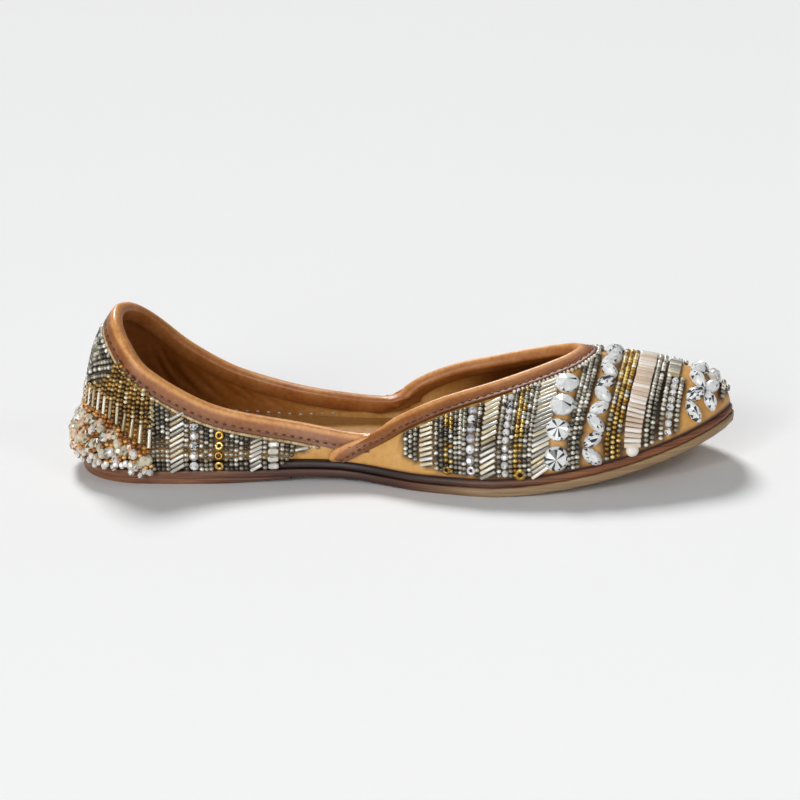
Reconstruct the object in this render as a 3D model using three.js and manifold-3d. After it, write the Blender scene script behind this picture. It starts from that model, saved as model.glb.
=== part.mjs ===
// A beaded leather mojari, the right shoe of a pair, in millimetres.
// +X runs from the heel to the toe, +Y points to the inner side of the foot and +Z is up.
// The upper is a wall drawn between two closed curves: the feather line, where it meets the sole,
// and the topline round the foot opening. Every overlay is cut from the same wall function.
import * as THREE from "three";
import { mergeVertices } from "three/addons/utils/BufferGeometryUtils.js";
import Module from "manifold-3d";

const wasm = await Module();
wasm.setup();

// Sizes of the sole
const LENGTH = 250;
const HEEL_CENTRE = 32;
const HEEL_HALF = 28.5;
const HEEL_FRONT_AT = 60;
const HEEL_FRONT_HALF = 27.9;
const WAIST_AT = 105;
const WAIST_HALF = 24.6;
const BALL_AT = { outer: 168, inner: 174 };
const BALL_HALF = 40.8;
const BEHIND_BALL = 26;
const BEHIND_BALL_HALF = 35.6;
const TOE_POWER = 2.1;
const TOE_ROOT = 0.59;
const TOE_INSWING = 5;
const INSWING_FROM = 75;
const TOE_SPRING = 15.5;
const TOE_SPRING_POWER = 1.8;
const SPRING_FROM = 162;
const TREAD_FLAT_FROM = 140;
const LIFT_THICK = 2;
const OUTSOLE_THICK = 2.8;
const MIDSOLE_THICK = 2.6;
const MIDSOLE_INSET = 0.5;
const INSOLE_THICK = 2;
const LIFT_FLAT = 54;
const LIFT_END = 88;
const LIFT_EDGE = 0.5;
const LIFT_INSET = 0.6;
const EASED = { lift: 0.12, outsole: 0.4, midsole: 0.7, insole: 0.3 };

// Sizes of the upper and its trims
const GAP = 0.3;
const LAP_GAP = 0.5;
const PANEL_GAP = 0.55;
const CROSSING_LIFT = 0.6;
const WALL = 2;
const VAMP_STEP = 1.2;
const FEATHER_INSET = 2.6;
const BINDING_THICK = 1;
const BINDING_OUT = 6;
const BINDING_IN = 5;
const PANEL_THICK = 1.5;
const PANEL_BELOW_BINDING = 1;
const FRINGE_STRANDS = 19;
const FRINGE_FROM_TOP = 16;
const FRINGE_TOP_DROP = 0.5;
const FRINGE_BELOW_FEATHER = 3;
const FRINGE_VALLEY_END = 0.4;
const FRINGE_HANGS_FROM = 4;

// The wall, from the middle of the heel to the middle of the toe. foot is the distance along the sole
// where a section meets the sole, and topX, topHalf and topZ place the topline. flare and lean are the
// wall's tilt in degrees, outwards where it leaves the sole and inwards where it reaches the topline.
// low is how far the first tilt holds, as a share of the wall's height, and high how far the second
// does, as a share of the straight line between the wall's ends.
const SECTION_COLUMNS = ["foot", "topX", "topHalf", "topZ", "flare", "lean", "low", "high"];
const SECTIONS = [
  [0, 19.2, 0, 60.6, -7, 43, 0.4, 0.32], // heel middle
  [4, 20.6, 8.4, 59.2, -6, 39, 0.4, 0.32], // heel round
  [14, 25.6, 17.2, 53.2, -4, 29, 0.4, 0.33], // heel corner
  [31, 34.5, 22, 43.2, 0, 18, 0.39, 0.35], // heel side
  [58, 60, 21.8, 28, 4, 18, 0.4, 0.36], // quarter
  [82, 90, 19.4, 20.8, 4, 30, 0.42, 0.36], // waist
  [98, 117, 21.4, 16.8, 4, 60, 0.42, 0.36], // wing edge
  [122, 130, 21.2, 23.4, 8, 42, 0.47, 0.38], // wing
  [148, 146, 19.4, 29.6, 10, 48, 0.5, 0.4], // wing front
  [178, 165, 15.8, 34.2, 10, 58, 0.56, 0.42], // ball
  [212, 183, 10, 38.8, 6, 68, 0.56, 0.48], // toe side
  [238, 191.4, 5, 41, 3, 76, 0.59, 0.54], // toe round
  [250, 194, 0, 41.6, 0, 79, 0.6, 0.58], // toe middle
].map((row, at) => {
  const section = { at };
  SECTION_COLUMNS.forEach((name, i) => (section[name] = row[i]));
  return section;
});
const WING_EDGE = 6;
const QUARTER_END = 7.4;
const QUARTER_BINDING_END = WING_EDGE - 0.24;
const CROSSING_FADE = 1.3;
const LAST = 12;

// Where each piece ends, by section number, and how many sections or rows it has.
const SOLE_END = 0.12;
const INSOLE_END = 0.3;
const SOLE_STATIONS = 44;
const INSOLE_STATIONS = 36;
const LIFT_STATIONS = 24;
const WING_STEP = 0.012;
const STOPS_PER_SECTION = { heel: 4, side: 3, wing: 6, toe: 4 };
const HEEL_TO = 3;
const TOE_FROM = 9;
const VAMP_BEADS_END = 6.95;
const QUARTER_BEADS_END = 5.3;
const WALL_ROWS = 7;
const PANEL_ROWS = 7;
const PANEL_LEAST = 0.03;
const FRINGE_REACH = 3.1;

// How far up from the feather line the beadwork starts, by section number.
const VAMP_BEADS_FROM = [
  { at: 6.9, rise: 13.2 },
  { at: 7.4, rise: 8 },
  { at: 8, rise: 3.6 },
  { at: 9, rise: 2.2 },
  { at: 10, rise: 2.4 },
  { at: 11, rise: 5 },
  { at: 12, rise: 6.5 },
];
const QUARTER_BEADS_FROM = [
  { at: 0, rise: 1.2 },
  { at: 4.6, rise: 1.2 },
  { at: 5.5, rise: 4.6 },
];

// A smooth curve through one column of a table that never overshoots its rows.
function column(rows, name, flatEnds = false) {
  const x = rows.map((r) => r.at);
  const y = rows.map((r) => r[name]);
  const last = x.length - 1;
  const width = (i) => x[i + 1] - x[i];
  const rise = (i) => (y[i + 1] - y[i]) / width(i);
  const slope = y.map((_, i) => {
    if (i === 0 || i === last) return flatEnds ? 0 : rise(i === 0 ? 0 : last - 1);
    const before = rise(i - 1);
    const after = rise(i);
    if (before * after <= 0) return 0;
    const a = 2 * width(i) + width(i - 1);
    const b = width(i) + 2 * width(i - 1);
    return (a + b) / (a / before + b / after);
  });
  return (at) => {
    const place = Math.min(Math.max(at, x[0]), x[last]);
    let i = 0;
    while (i < last - 1 && place > x[i + 1]) i++;
    const w = width(i);
    const s = (place - x[i]) / w;
    const up = s * s * (3 - 2 * s);
    const start = s * (1 - s) * (1 - s) * w * slope[i];
    const end = s * s * (s - 1) * w * slope[i + 1];
    return y[i] + (y[i + 1] - y[i]) * up + start + end;
  };
}

const smoothstep = (t) => {
  const s = Math.min(Math.max(t, 0), 1);
  return s * s * (3 - 2 * s);
};

// Half the sole's width at a distance from its heel end, a little different on each side of the ball.
const waistCurve = {};
for (const [side, ballAt] of Object.entries(BALL_AT))
  waistCurve[side] = column(
    [
      { at: HEEL_CENTRE, half: HEEL_HALF },
      { at: HEEL_FRONT_AT, half: HEEL_FRONT_HALF },
      { at: WAIST_AT, half: WAIST_HALF },
      { at: ballAt - BEHIND_BALL, half: BEHIND_BALL_HALF },
      { at: ballAt, half: BALL_HALF },
    ],
    "half",
    true,
  );

function halfWidth(x, side) {
  if (x <= HEEL_CENTRE) {
    const back = (HEEL_CENTRE - x) / HEEL_CENTRE;
    return HEEL_HALF * Math.sqrt(Math.max(0, 1 - back * back));
  }
  const ballAt = BALL_AT[side];
  if (x <= ballAt) return waistCurve[side](x);
  const front = (x - ballAt) / (LENGTH - ballAt);
  return BALL_HALF * Math.max(0, 1 - front ** TOE_POWER) ** TOE_ROOT;
}

const centreLine = (x) => TOE_INSWING * smoothstep((x - INSWING_FROM) / (LENGTH - INSWING_FROM));

// Height of the outsole's underside: level on the heel lift, down to the floor under the ball,
// and up again at the toe.
function tread(x) {
  const onLift = LIFT_THICK + GAP;
  const drop = smoothstep((x - LIFT_END) / (TREAD_FLAT_FROM - LIFT_END));
  const front = Math.max(0, (x - SPRING_FROM) / (LENGTH - SPRING_FROM));
  return onLift * (1 - drop) + TOE_SPRING * front ** TOE_SPRING_POWER;
}

const outsoleTop = (x) => tread(x) + OUTSOLE_THICK;
const midsoleTop = (x) => outsoleTop(x) + GAP + MIDSOLE_THICK;

// turn goes once round the shoe: 0 is the middle of the heel, LAST the middle of the toe by the outer
// side, and 2 * LAST the heel again by the inner side. section is the matching row in SECTIONS.
const sectionOf = (turn) => (turn <= LAST ? turn : 2 * LAST - turn);
const sideOf = (turn) => (turn <= LAST ? -1 : 1);

const foot = column(SECTIONS, "foot", true);

const wrap = (turn) => ((turn % (2 * LAST)) + 2 * LAST) % (2 * LAST);

function edgePoint(turn) {
  const place = wrap(turn);
  const x = foot(sectionOf(place));
  const side = sideOf(place);
  const half = halfWidth(x, side < 0 ? "outer" : "inner");
  return new THREE.Vector2(x, centreLine(x) + side * half);
}

function edgeNormal(turn) {
  const step = 0.02;
  const along = edgePoint(turn + step).sub(edgePoint(turn - step)).normalize();
  return new THREE.Vector2(along.y, -along.x);
}

// A point on the sole's outline, moved inwards.
function insetPoint(turn, inset) {
  return edgePoint(turn).sub(edgeNormal(turn).multiplyScalar(inset));
}

const top = {};
for (const name of SECTION_COLUMNS) top[name] = column(SECTIONS, name, name !== "topHalf");

const tilted = (level, degrees, length) => {
  const angle = THREE.MathUtils.degToRad(degrees);
  return level.clone().multiplyScalar(Math.sin(angle)).setZ(Math.cos(angle)).multiplyScalar(length);
};

// The wall's profile at one turn, from the feather line up to the topline.
function profile(turn) {
  const section = sectionOf(turn);
  const low = insetPoint(turn, FEATHER_INSET);
  const start = new THREE.Vector3(low.x, low.y, midsoleTop(foot(section)) + GAP);
  const x = top.topX(section);
  const y = centreLine(x) + sideOf(turn) * top.topHalf(section);
  const end = new THREE.Vector3(x, y, top.topZ(section));
  const chord = start.distanceTo(end);
  const rise = end.z - start.z;
  const inwards = end.clone().sub(start).setZ(0).normalize();
  const { x: outX, y: outY } = edgeNormal(turn);
  const leaving = tilted(new THREE.Vector3(outX, outY, 0), top.flare(section), rise * top.low(section));
  const arriving = tilted(inwards, top.lean(section), chord * top.high(section));
  return new THREE.CubicBezierCurve3(start, start.clone().add(leaving), end.clone().sub(arriving), end);
}

const profiles = new Map();

// The wall's own face, from the feather line (v = 0) to the topline (v = 1).
function wallPoint(turn, v) {
  const key = wrap(turn);
  if (!profiles.has(key)) profiles.set(key, profile(key));
  return profiles.get(key).getPoint(v);
}

function wallNormal(turn, v) {
  const a = 0.03;
  const b = 0.01;
  const low = Math.max(v - b, 0.002);
  const high = Math.min(v + b, 0.998);
  const along = wallPoint(turn + a, (low + high) / 2).sub(wallPoint(turn - a, (low + high) / 2));
  const up = wallPoint(turn, high).sub(wallPoint(turn, low));
  return along.cross(up).normalize();
}

const isVamp = (turn) => sectionOf(wrap(turn)) > WING_EDGE;

// A point standing off the upper's outside, which is a step higher on the vamp than on the quarter.
function outside(turn, v, off) {
  const lift = isVamp(turn) ? VAMP_STEP : 0;
  return wallPoint(turn, v).addScaledVector(wallNormal(turn, v), lift + off);
}

// A point standing off the upper's inside. The quarter reaches forward inside the vamp and is skived
// away to nothing there.
function inside(turn, v, off) {
  const thin = VAMP_STEP * smoothstep((sectionOf(wrap(turn)) - WING_EDGE) / (QUARTER_END - WING_EDGE));
  return wallPoint(turn, v).addScaledVector(wallNormal(turn, v), -(WALL - thin) - off);
}

// The share v that lies a distance up the wall from the feather line, or down it from the topline.
function shareAt(turn, distance, fromTop) {
  const steps = 60;
  let gone = 0;
  let before = wallPoint(turn, fromTop ? 1 : 0);
  for (let k = 1; k <= steps; k++) {
    const v = fromTop ? 1 - k / steps : k / steps;
    const here = wallPoint(turn, v);
    const length = here.distanceTo(before);
    if (gone + length >= distance) {
      const part = (distance - gone) / length / steps;
      return fromTop ? 1 - (k - 1) / steps - part : (k - 1) / steps + part;
    }
    gone += length;
    before = here;
  }
  return fromTop ? 0 : 1;
}

// Turns two grids of points, an outer and an inner face, into one closed wall.
function closedWall(columns, rows, outerAt, innerAt, ring) {
  const points = [];
  const index = [[], []];
  [outerAt, innerAt].forEach((face, f) => {
    for (let i = 0; i < columns; i++) {
      index[f].push([]);
      for (let j = 0; j < rows; j++) {
        index[f][i].push(points.length / 3);
        points.push(...face(i, j).toArray());
      }
    }
  });
  const triangles = [];
  const quad = (a, b, c, d) => triangles.push(a, b, c, a, c, d);
  const [out, inn] = index;
  const spans = ring ? columns : columns - 1;
  for (let i = 0; i < spans; i++) {
    const k = (i + 1) % columns;
    for (let j = 0; j < rows - 1; j++) {
      quad(out[i][j], out[k][j], out[k][j + 1], out[i][j + 1]);
      quad(inn[k][j], inn[i][j], inn[i][j + 1], inn[k][j + 1]);
    }
    quad(inn[i][0], inn[k][0], out[k][0], out[i][0]);
    const m = rows - 1;
    quad(out[i][m], out[k][m], inn[k][m], inn[i][m]);
  }
  if (!ring)
    for (let j = 0; j < rows - 1; j++) {
      const e = columns - 1;
      quad(inn[0][j], out[0][j], out[0][j + 1], inn[0][j + 1]);
      quad(out[e][j], inn[e][j], inn[e][j + 1], out[e][j + 1]);
    }
  return geometryOf(points, triangles);
}

// Joins a row of closed sections, each a list of points in the same order, and caps both ends.
function loft(sections) {
  const count = sections[0].length;
  const points = sections.flat().flatMap((p) => p.toArray());
  const triangles = [];
  for (let i = 0; i < sections.length - 1; i++)
    for (let j = 0; j < count; j++) {
      const a = i * count + j;
      const b = i * count + ((j + 1) % count);
      triangles.push(a, b, b + count, a, b + count, a + count);
    }
  const face = capTriangles(sections[0]);
  const end = (sections.length - 1) * count;
  for (const [a, b, c] of face) triangles.push(a, c, b, end + a, end + b, end + c);
  return geometryOf(points, triangles);
}

// Triangles that fill one flat section, worked out in its own plane.
function capTriangles(section) {
  const middle = section.reduce((sum, p) => sum.add(p), new THREE.Vector3()).divideScalar(section.length);
  const normal = new THREE.Vector3();
  section.forEach((p, i) => {
    const next = section[(i + 1) % section.length];
    normal.add(p.clone().sub(middle).cross(next.clone().sub(middle)));
  });
  normal.normalize();
  const across = section[0].clone().sub(middle).projectOnPlane(normal).normalize();
  const up = normal.clone().cross(across);
  const flat = section.map((p) => {
    const from = p.clone().sub(middle);
    return new THREE.Vector2(from.dot(across), from.dot(up));
  });
  return THREE.ShapeUtils.triangulateShape(flat, []);
}

// A closed shell with its faces turned outwards.
function geometryOf(points, triangles) {
  const corner = (n) => new THREE.Vector3().fromArray(points, 3 * n);
  let volume = 0;
  for (let i = 0; i < triangles.length; i += 3) {
    const [a, b, c] = triangles.slice(i, i + 3).map(corner);
    volume += a.dot(b.cross(c));
  }
  const geometry = new THREE.BufferGeometry();
  geometry.setAttribute("position", new THREE.Float32BufferAttribute(points, 3));
  geometry.setIndex(volume > 0 ? triangles : [...triangles].reverse());
  return geometry;
}

// The same shell as a solid that can be joined to others.
function solidOf(geometry) {
  const bare = geometry.clone();
  for (const name of ["normal", "uv"]) bare.deleteAttribute(name);
  const merged = mergeVertices(bare, 1e-3);
  return new wasm.Manifold(
    new wasm.Mesh({
      numProp: 3,
      vertProperties: new Float32Array(merged.attributes.position.array),
      triVerts: new Uint32Array(merged.index.array),
    }),
  );
}

function geometryOfSolid(solid) {
  const mesh = solid.getMesh();
  return geometryOf(Array.from(mesh.vertProperties), Array.from(mesh.triVerts));
}

function joined(geometries) {
  const [first, ...others] = geometries.map(solidOf);
  return geometryOfSolid(others.reduce((whole, part) => whole.add(part), first));
}

const spread = (from, to, count) =>
  Array.from({ length: count }, (_, i) => from + ((to - from) * i) / (count - 1));

// One layer of the sole: sections across the shoe, with the corners of its edge eased.
function soleLayer({ low, high, inset, ease, from = SOLE_END, to = LAST - from, stations = SOLE_STATIONS }) {
  const corners = [
    [ease, low, 0],
    [0, low, ease],
    [0, high, -ease],
    [ease, high, 0],
  ];
  return loft(
    spread(from, to, stations).map((section) => {
      const side = (turn, list) =>
        list.map(([move, height, shift]) => {
          const p = insetPoint(turn, inset + move);
          return new THREE.Vector3(p.x, p.y, height(p.x) + shift);
        });
      return [...side(section, corners), ...side(2 * LAST - section, [...corners].reverse())];
    }),
  );
}

function outsole() {
  return soleLayer({ low: tread, high: outsoleTop, inset: 0, ease: EASED.outsole });
}

function midsole() {
  const low = (x) => outsoleTop(x) + GAP;
  return soleLayer({ low, high: midsoleTop, inset: MIDSOLE_INSET, ease: EASED.midsole });
}

// The heel lift is skived from below to a thin edge at its front, where the arch begins.
function heelLift() {
  const end = SECTIONS.findIndex((s) => s.foot > LIFT_END);
  const before = SECTIONS[end - 1];
  const to = before.at + (LIFT_END - before.foot) / (SECTIONS[end].foot - before.foot);
  const low = (x) => (LIFT_THICK - LIFT_EDGE) * smoothstep((x - LIFT_FLAT) / (LIFT_END - LIFT_FLAT));
  const high = () => LIFT_THICK;
  return soleLayer({ low, high, inset: LIFT_INSET, ease: EASED.lift, to, stations: LIFT_STATIONS });
}

function insole() {
  const inset = FEATHER_INSET + WALL + 2 * GAP;
  const low = (x) => midsoleTop(x) + GAP;
  const high = (x) => low(x) + INSOLE_THICK;
  const [from, stations] = [INSOLE_END, INSOLE_STATIONS];
  return soleLayer({ low, high, inset, ease: EASED.insole, from, stations });
}

function stopsAfter(section) {
  if (section === WING_EDGE) return STOPS_PER_SECTION.wing;
  if (section < HEEL_TO) return STOPS_PER_SECTION.heel;
  return section < TOE_FROM ? STOPS_PER_SECTION.side : STOPS_PER_SECTION.toe;
}

// The stops round the wall, closer at its ends. Two stops close together make the step at the wing's
// edge.
function wallStops() {
  const half = [0];
  for (let section = 0; section < LAST; section++) {
    const count = stopsAfter(section);
    for (let k = 1; k < count; k++) half.push(section + k / count);
    const next = section + 1;
    if (next === WING_EDGE) half.push(QUARTER_BINDING_END, next - WING_STEP, next + WING_STEP);
    else half.push(next);
  }
  const back = half.slice(1, -1).reverse();
  return [...half, ...back.map((section) => 2 * LAST - section)];
}

const STOPS = wallStops();

// The wall's stops between two turns, with the two turns themselves as the first and the last.
function stopsBetween(from, to) {
  const apart = 0.06;
  const every = [...STOPS.map((turn) => turn - 2 * LAST), ...STOPS];
  return [from, ...every.filter((turn) => turn > from + apart && turn < to - apart), to];
}

// The shares at which the wall has a row of points: even ones up to the binding, and two more under it.
function wallShares(turn) {
  const under = shareAt(turn, BINDING_OUT, true);
  return [...spread(0, under, WALL_ROWS), (1 + under) / 2, 1];
}

function upper() {
  const shares = STOPS.map(wallShares);
  const face = (side) => (i, j) => {
    const point = side(STOPS[i], shares[i][j], 0);
    if (j === 0) point.z = midsoleTop(foot(sectionOf(STOPS[i]))) + GAP;
    return point;
  };
  return closedWall(STOPS.length, shares[0].length, face(outside), face(inside), true);
}

// Steps over the wall from one place in a direction that keeps to its surface, and gives the place
// reached, as a turn and a share.
function walk(place, direction, distance) {
  const steps = 12;
  const reach = 0.01;
  const heading = direction.clone();
  let { turn, v } = place;
  for (let k = 0; k < steps; k++) {
    const low = Math.max(v - reach, 0);
    const high = Math.min(v + reach, 1);
    const alongTurn = wallPoint(turn + reach, v).sub(wallPoint(turn - reach, v)).divideScalar(2 * reach);
    const alongShare = wallPoint(turn, high).sub(wallPoint(turn, low)).divideScalar(high - low);
    heading.projectOnPlane(wallNormal(turn, v)).normalize();
    const [a, b, c] = [alongTurn.dot(alongTurn), alongTurn.dot(alongShare), alongShare.dot(alongShare)];
    const [p, q] = [alongTurn.dot(heading), alongShare.dot(heading)];
    const step = distance / steps / (a * c - b * b);
    turn += step * (p * c - q * b);
    v = Math.min(Math.max(v + step * (q * a - p * b), 0), 1);
  }
  return { turn, v };
}

// The direction straight into the wall from its topline.
function intoWall(turn) {
  const step = 0.03;
  const along = wallPoint(turn + step, 1).sub(wallPoint(turn - step, 1));
  return along.cross(wallNormal(turn, 1)).normalize();
}

// How much prouder the vamp's strip stands near the crossing than further round the throat.
const crossingLift = (turn) =>
  CROSSING_LIFT * (1 - smoothstep((sectionOf(turn) - WING_EDGE) / CROSSING_FADE));

// The section of a strip folded over the topline: a leg outside, the fold, and a leg inside. proud
// stands it further off the wall, and no point of it passes the turn last.
function foldedSection(turn, proud, last) {
  const lap = LAP_GAP + proud;
  const far = GAP + BINDING_THICK + proud;
  const soft = BINDING_THICK / 3;
  const down = intoWall(turn);
  const place = (distance) => {
    const at = walk({ turn, v: 1 }, down, distance);
    return [Math.min(Math.max(at.turn, -last), last), at.v];
  };
  const over = (point, height) => point.addScaledVector(down, -height);
  const [outHalf, outEnd] = [BINDING_OUT / 2, BINDING_OUT].map(place);
  const [inHalf, inEnd] = [BINDING_IN / 2, BINDING_IN].map(place);
  return [
    outside(...outEnd, lap),
    outside(...outEnd, far),
    outside(...outHalf, far),
    over(outside(turn, 1, far), soft),
    over(outside(turn, 1, 0), far),
    over(inside(turn, 1, 0), far),
    over(inside(turn, 1, far), soft),
    inside(...inHalf, far),
    inside(...inEnd, far),
    inside(...inEnd, lap),
    inside(...inHalf, lap),
    over(inside(turn, 1, lap), GAP + proud),
    over(outside(turn, 1, lap), GAP + proud),
    outside(...outHalf, lap),
  ];
}

// The strip on the edge of the vamp's wing, from the sole up to the topline. It wraps the cut edge,
// and a thinner tongue at its top end is joined into the strip that goes on round the throat.
const WING_STRIP = { from: 0.08, to: 0.86, sections: 7 };
const TONGUE = { ahead: [0.12, 0.3], reach: [1, 3, 5], tip: 0.3, skin: 0.2 };

function wingStrip(edge, direction) {
  const far = GAP + BINDING_THICK;
  const soft = BINDING_THICK / 3;
  const share = 0.02;
  const sections = spread(WING_STRIP.from, WING_STRIP.to, WING_STRIP.sections).map((v) => {
    const along = wallPoint(edge, v + share).sub(wallPoint(edge, v - share)).normalize();
    const normal = wallNormal(edge, v);
    const forward = along.cross(normal).multiplyScalar(direction);
    const place = (distance) => {
      const at = walk({ turn: edge, v }, forward, distance);
      return [at.turn, at.v];
    };
    const [half, end] = [BINDING_OUT / 2, BINDING_OUT].map(place);
    const base = wallPoint(edge, v);
    const at = (back, off) => base.clone().addScaledVector(forward, -back).addScaledVector(normal, off);
    return [
      outside(...end, LAP_GAP),
      outside(...end, far),
      outside(...half, far),
      at(LAP_GAP, VAMP_STEP + far),
      at(far, VAMP_STEP + far - soft),
      at(far, LAP_GAP),
      at(LAP_GAP, LAP_GAP),
      at(LAP_GAP, VAMP_STEP + LAP_GAP),
      outside(...half, LAP_GAP),
    ];
  });
  const tongue = TONGUE.ahead.map((ahead) => {
    const turn = edge + ahead * direction;
    const down = intoWall(turn);
    const place = (distance, off) => {
      const at = walk({ turn, v: 1 }, down, distance);
      return outside(at.turn, at.v, off);
    };
    const [near, mid, wide] = TONGUE.reach;
    const proud = crossingLift(turn);
    const [low, high] = [LAP_GAP + proud + TONGUE.skin, far + proud - TONGUE.skin];
    return [
      place(wide, low),
      place(wide, high),
      place(mid, high),
      place(near + 1, high),
      place(near, high),
      place(near - TONGUE.tip, (low + high) / 2),
      place(near, low),
      place(near + 1, low),
      place(mid, low),
    ];
  });
  return loft([...sections, ...tongue]);
}

function vampBinding() {
  const start = WING_EDGE + 0.03;
  const round = stopsBetween(start, 2 * LAST - start).map((turn) =>
    foldedSection(turn, crossingLift(turn), 2 * LAST),
  );
  return joined([loft(round), wingStrip(WING_EDGE, 1), wingStrip(2 * LAST - WING_EDGE, -1)]);
}

// The quarter's strip stops short of the vamp's wing on each side, along the wing's edge.
function quarterBinding() {
  const end = QUARTER_BINDING_END;
  return loft(stopsBetween(-end, end).map((turn) => foldedSection(turn, 0, end)));
}

// A bead-covered panel on the outside of the wall, between a lower line and the binding.
function beadPanel(from, to, fromTable) {
  const rise = column(fromTable, "rise");
  const columns = stopsBetween(from, to).map((turn) => {
    const high = walk({ turn, v: 1 }, intoWall(turn), BINDING_OUT + PANEL_BELOW_BINDING);
    const low = shareAt(high.turn, rise(sectionOf(wrap(high.turn))), false);
    return { turn: high.turn, low: Math.min(low, high.v - PANEL_LEAST), high: high.v };
  });
  const face = (off) => (i, j) => {
    const { turn, low, high } = columns[i];
    return outside(turn, low + ((high - low) * j) / (PANEL_ROWS - 1), off);
  };
  return closedWall(columns.length, PANEL_ROWS, face(PANEL_GAP + PANEL_THICK), face(PANEL_GAP), false);
}

const vampBeadwork = () => beadPanel(VAMP_BEADS_END, 2 * LAST - VAMP_BEADS_END, VAMP_BEADS_FROM);
const quarterBeadwork = () => beadPanel(-QUARTER_BEADS_END, QUARTER_BEADS_END, QUARTER_BEADS_FROM);

// The fringe round the heel: strands side by side, each ending in a thicker cluster of drops.
// down is how far a row lies below the fringe's top, as a share of the strand's length.
const FRINGE_ROWS = [
  { down: 0, ridge: 0.9, valley: 0.7 },
  { down: 0.15, ridge: 1.8, valley: 0.9 },
  { down: 0.38, ridge: 1.9, valley: 0.9 },
  { down: 0.62, ridge: 2, valley: 1 },
  { down: 0.72, ridge: 3.8, valley: 2.2 },
  { down: 0.92, ridge: 3.2, valley: 1.7 },
  { down: 1, ridge: 2.2, valley: 1.2 },
];

function heelFringe() {
  const columns = 3 * FRINGE_STRANDS + 1;
  const turns = spread(-FRINGE_REACH, FRINGE_REACH, columns);
  const standOff = PANEL_GAP + PANEL_THICK + 2 * GAP;
  const strands = turns.map((turn, i) => {
    const bump = Math.abs(Math.sin((i / 3) * Math.PI));
    const feather = wallPoint(turn, 0).z;
    const reach = FRINGE_VALLEY_END + (1 - FRINGE_VALLEY_END) * bump;
    const end = feather - FRINGE_BELOW_FEATHER * reach;
    const fromTop = FRINGE_FROM_TOP + FRINGE_TOP_DROP * sectionOf(wrap(turn));
    const head = wallPoint(turn, shareAt(turn, fromTop, true)).z;
    return { turn, bump, feather, end, head };
  });
  // High up the fringe follows the wall, and at its foot it hangs clear of the sole's edge.
  const face = (depthOf) => (i, j) => {
    const row = FRINGE_ROWS[j];
    const { turn, bump, feather, end, head } = strands[i];
    const z = head + (end - head) * row.down;
    const off = depthOf(row, bump);
    if (z < feather + FRINGE_HANGS_FROM) {
      const clear = insetPoint(turn, -2 * GAP - off);
      return new THREE.Vector3(clear.x, clear.y, z);
    }
    const share = shareAtHeight(turn, z);
    const level = wallNormal(turn, share).setZ(0);
    const away = standOff / level.length() + off;
    return wallPoint(turn, share).addScaledVector(level.normalize(), away).setZ(z);
  };
  const outer = face((row, bump) => row.valley + (row.ridge - row.valley) * bump);
  const inner = face(() => 0);
  return closedWall(columns, FRINGE_ROWS.length, outer, inner, false);
}

// The share v at which the wall reaches a height.
function shareAtHeight(turn, z) {
  let low = 0;
  let high = 1;
  for (let k = 0; k < 24; k++) {
    const half = (low + high) / 2;
    if (wallPoint(turn, half).z < z) low = half;
    else high = half;
  }
  return (low + high) / 2;
}

// Each piece's own colour and finish
const leather = (color, roughness) => new THREE.MeshStandardMaterial({ color, roughness, metalness: 0 });
const beads = (color) => new THREE.MeshStandardMaterial({ color, roughness: 0.3, metalness: 0.5 });

const pieces = [
  ["heel_lift", heelLift(), leather(0x8a5a38, 0.6)],
  ["outsole", outsole(), leather(0xb98a5e, 0.6)],
  ["midsole", midsole(), leather(0x6b3620, 0.5)],
  ["insole", insole(), leather(0x9a6a2c, 0.5)],
  ["upper", upper(), leather(0xc99a5a, 0.5)],
  ["quarter_binding", quarterBinding(), leather(0xb0703f, 0.45)],
  ["vamp_binding", vampBinding(), leather(0xb0703f, 0.45)],
  ["quarter_beadwork", quarterBeadwork(), beads(0x9a958a)],
  ["vamp_beadwork", vampBeadwork(), beads(0xb5a98a)],
  ["heel_fringe", heelFringe(), beads(0xb8924a)],
];

const shoe = new THREE.Group();
for (const [name, geometry, material] of pieces) {
  const mesh = new THREE.Mesh(geometry, material);
  mesh.name = name;
  shoe.add(mesh);
}
const box = new THREE.Box3().setFromObject(shoe);
const middle = box.getCenter(new THREE.Vector3());
shoe.position.set(-middle.x, -middle.y, -box.min.z);

export default shoe;
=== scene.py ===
# %% [markdown]
# # A beaded leather mojari
# A mojari is a flat slip-on shoe of the Punjab. Its quarter, the low wall round the heel, and its vamp,
# the front, are two pieces of tan leather. Folded strips bind their edges, and glass beads cover them.
# The CAD model gives the solids. This script dresses them: it lasts fine leather over the same form,
# sews the beads on row by row, and finishes each surface.

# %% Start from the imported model
import math

import bpy
import numpy as np
from mathutils import Matrix, Vector
from mathutils.kdtree import KDTree


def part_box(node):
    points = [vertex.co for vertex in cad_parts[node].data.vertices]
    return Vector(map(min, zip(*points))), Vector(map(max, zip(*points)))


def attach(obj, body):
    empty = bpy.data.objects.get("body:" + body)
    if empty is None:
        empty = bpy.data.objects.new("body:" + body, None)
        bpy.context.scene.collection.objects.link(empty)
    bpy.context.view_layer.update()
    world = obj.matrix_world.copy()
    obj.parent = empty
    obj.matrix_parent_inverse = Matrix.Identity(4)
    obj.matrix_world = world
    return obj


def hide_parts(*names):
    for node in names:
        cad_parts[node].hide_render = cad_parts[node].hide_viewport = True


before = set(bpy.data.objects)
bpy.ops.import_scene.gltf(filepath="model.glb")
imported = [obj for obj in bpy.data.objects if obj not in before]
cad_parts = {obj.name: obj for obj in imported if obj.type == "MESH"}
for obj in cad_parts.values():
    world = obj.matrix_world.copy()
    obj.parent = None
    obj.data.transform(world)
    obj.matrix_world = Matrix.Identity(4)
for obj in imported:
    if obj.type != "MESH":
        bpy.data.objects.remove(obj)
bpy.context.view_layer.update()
MM = 0.001
SEED = 7
chance = np.random.default_rng(SEED)
print("nodes:", sorted(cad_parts))

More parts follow.
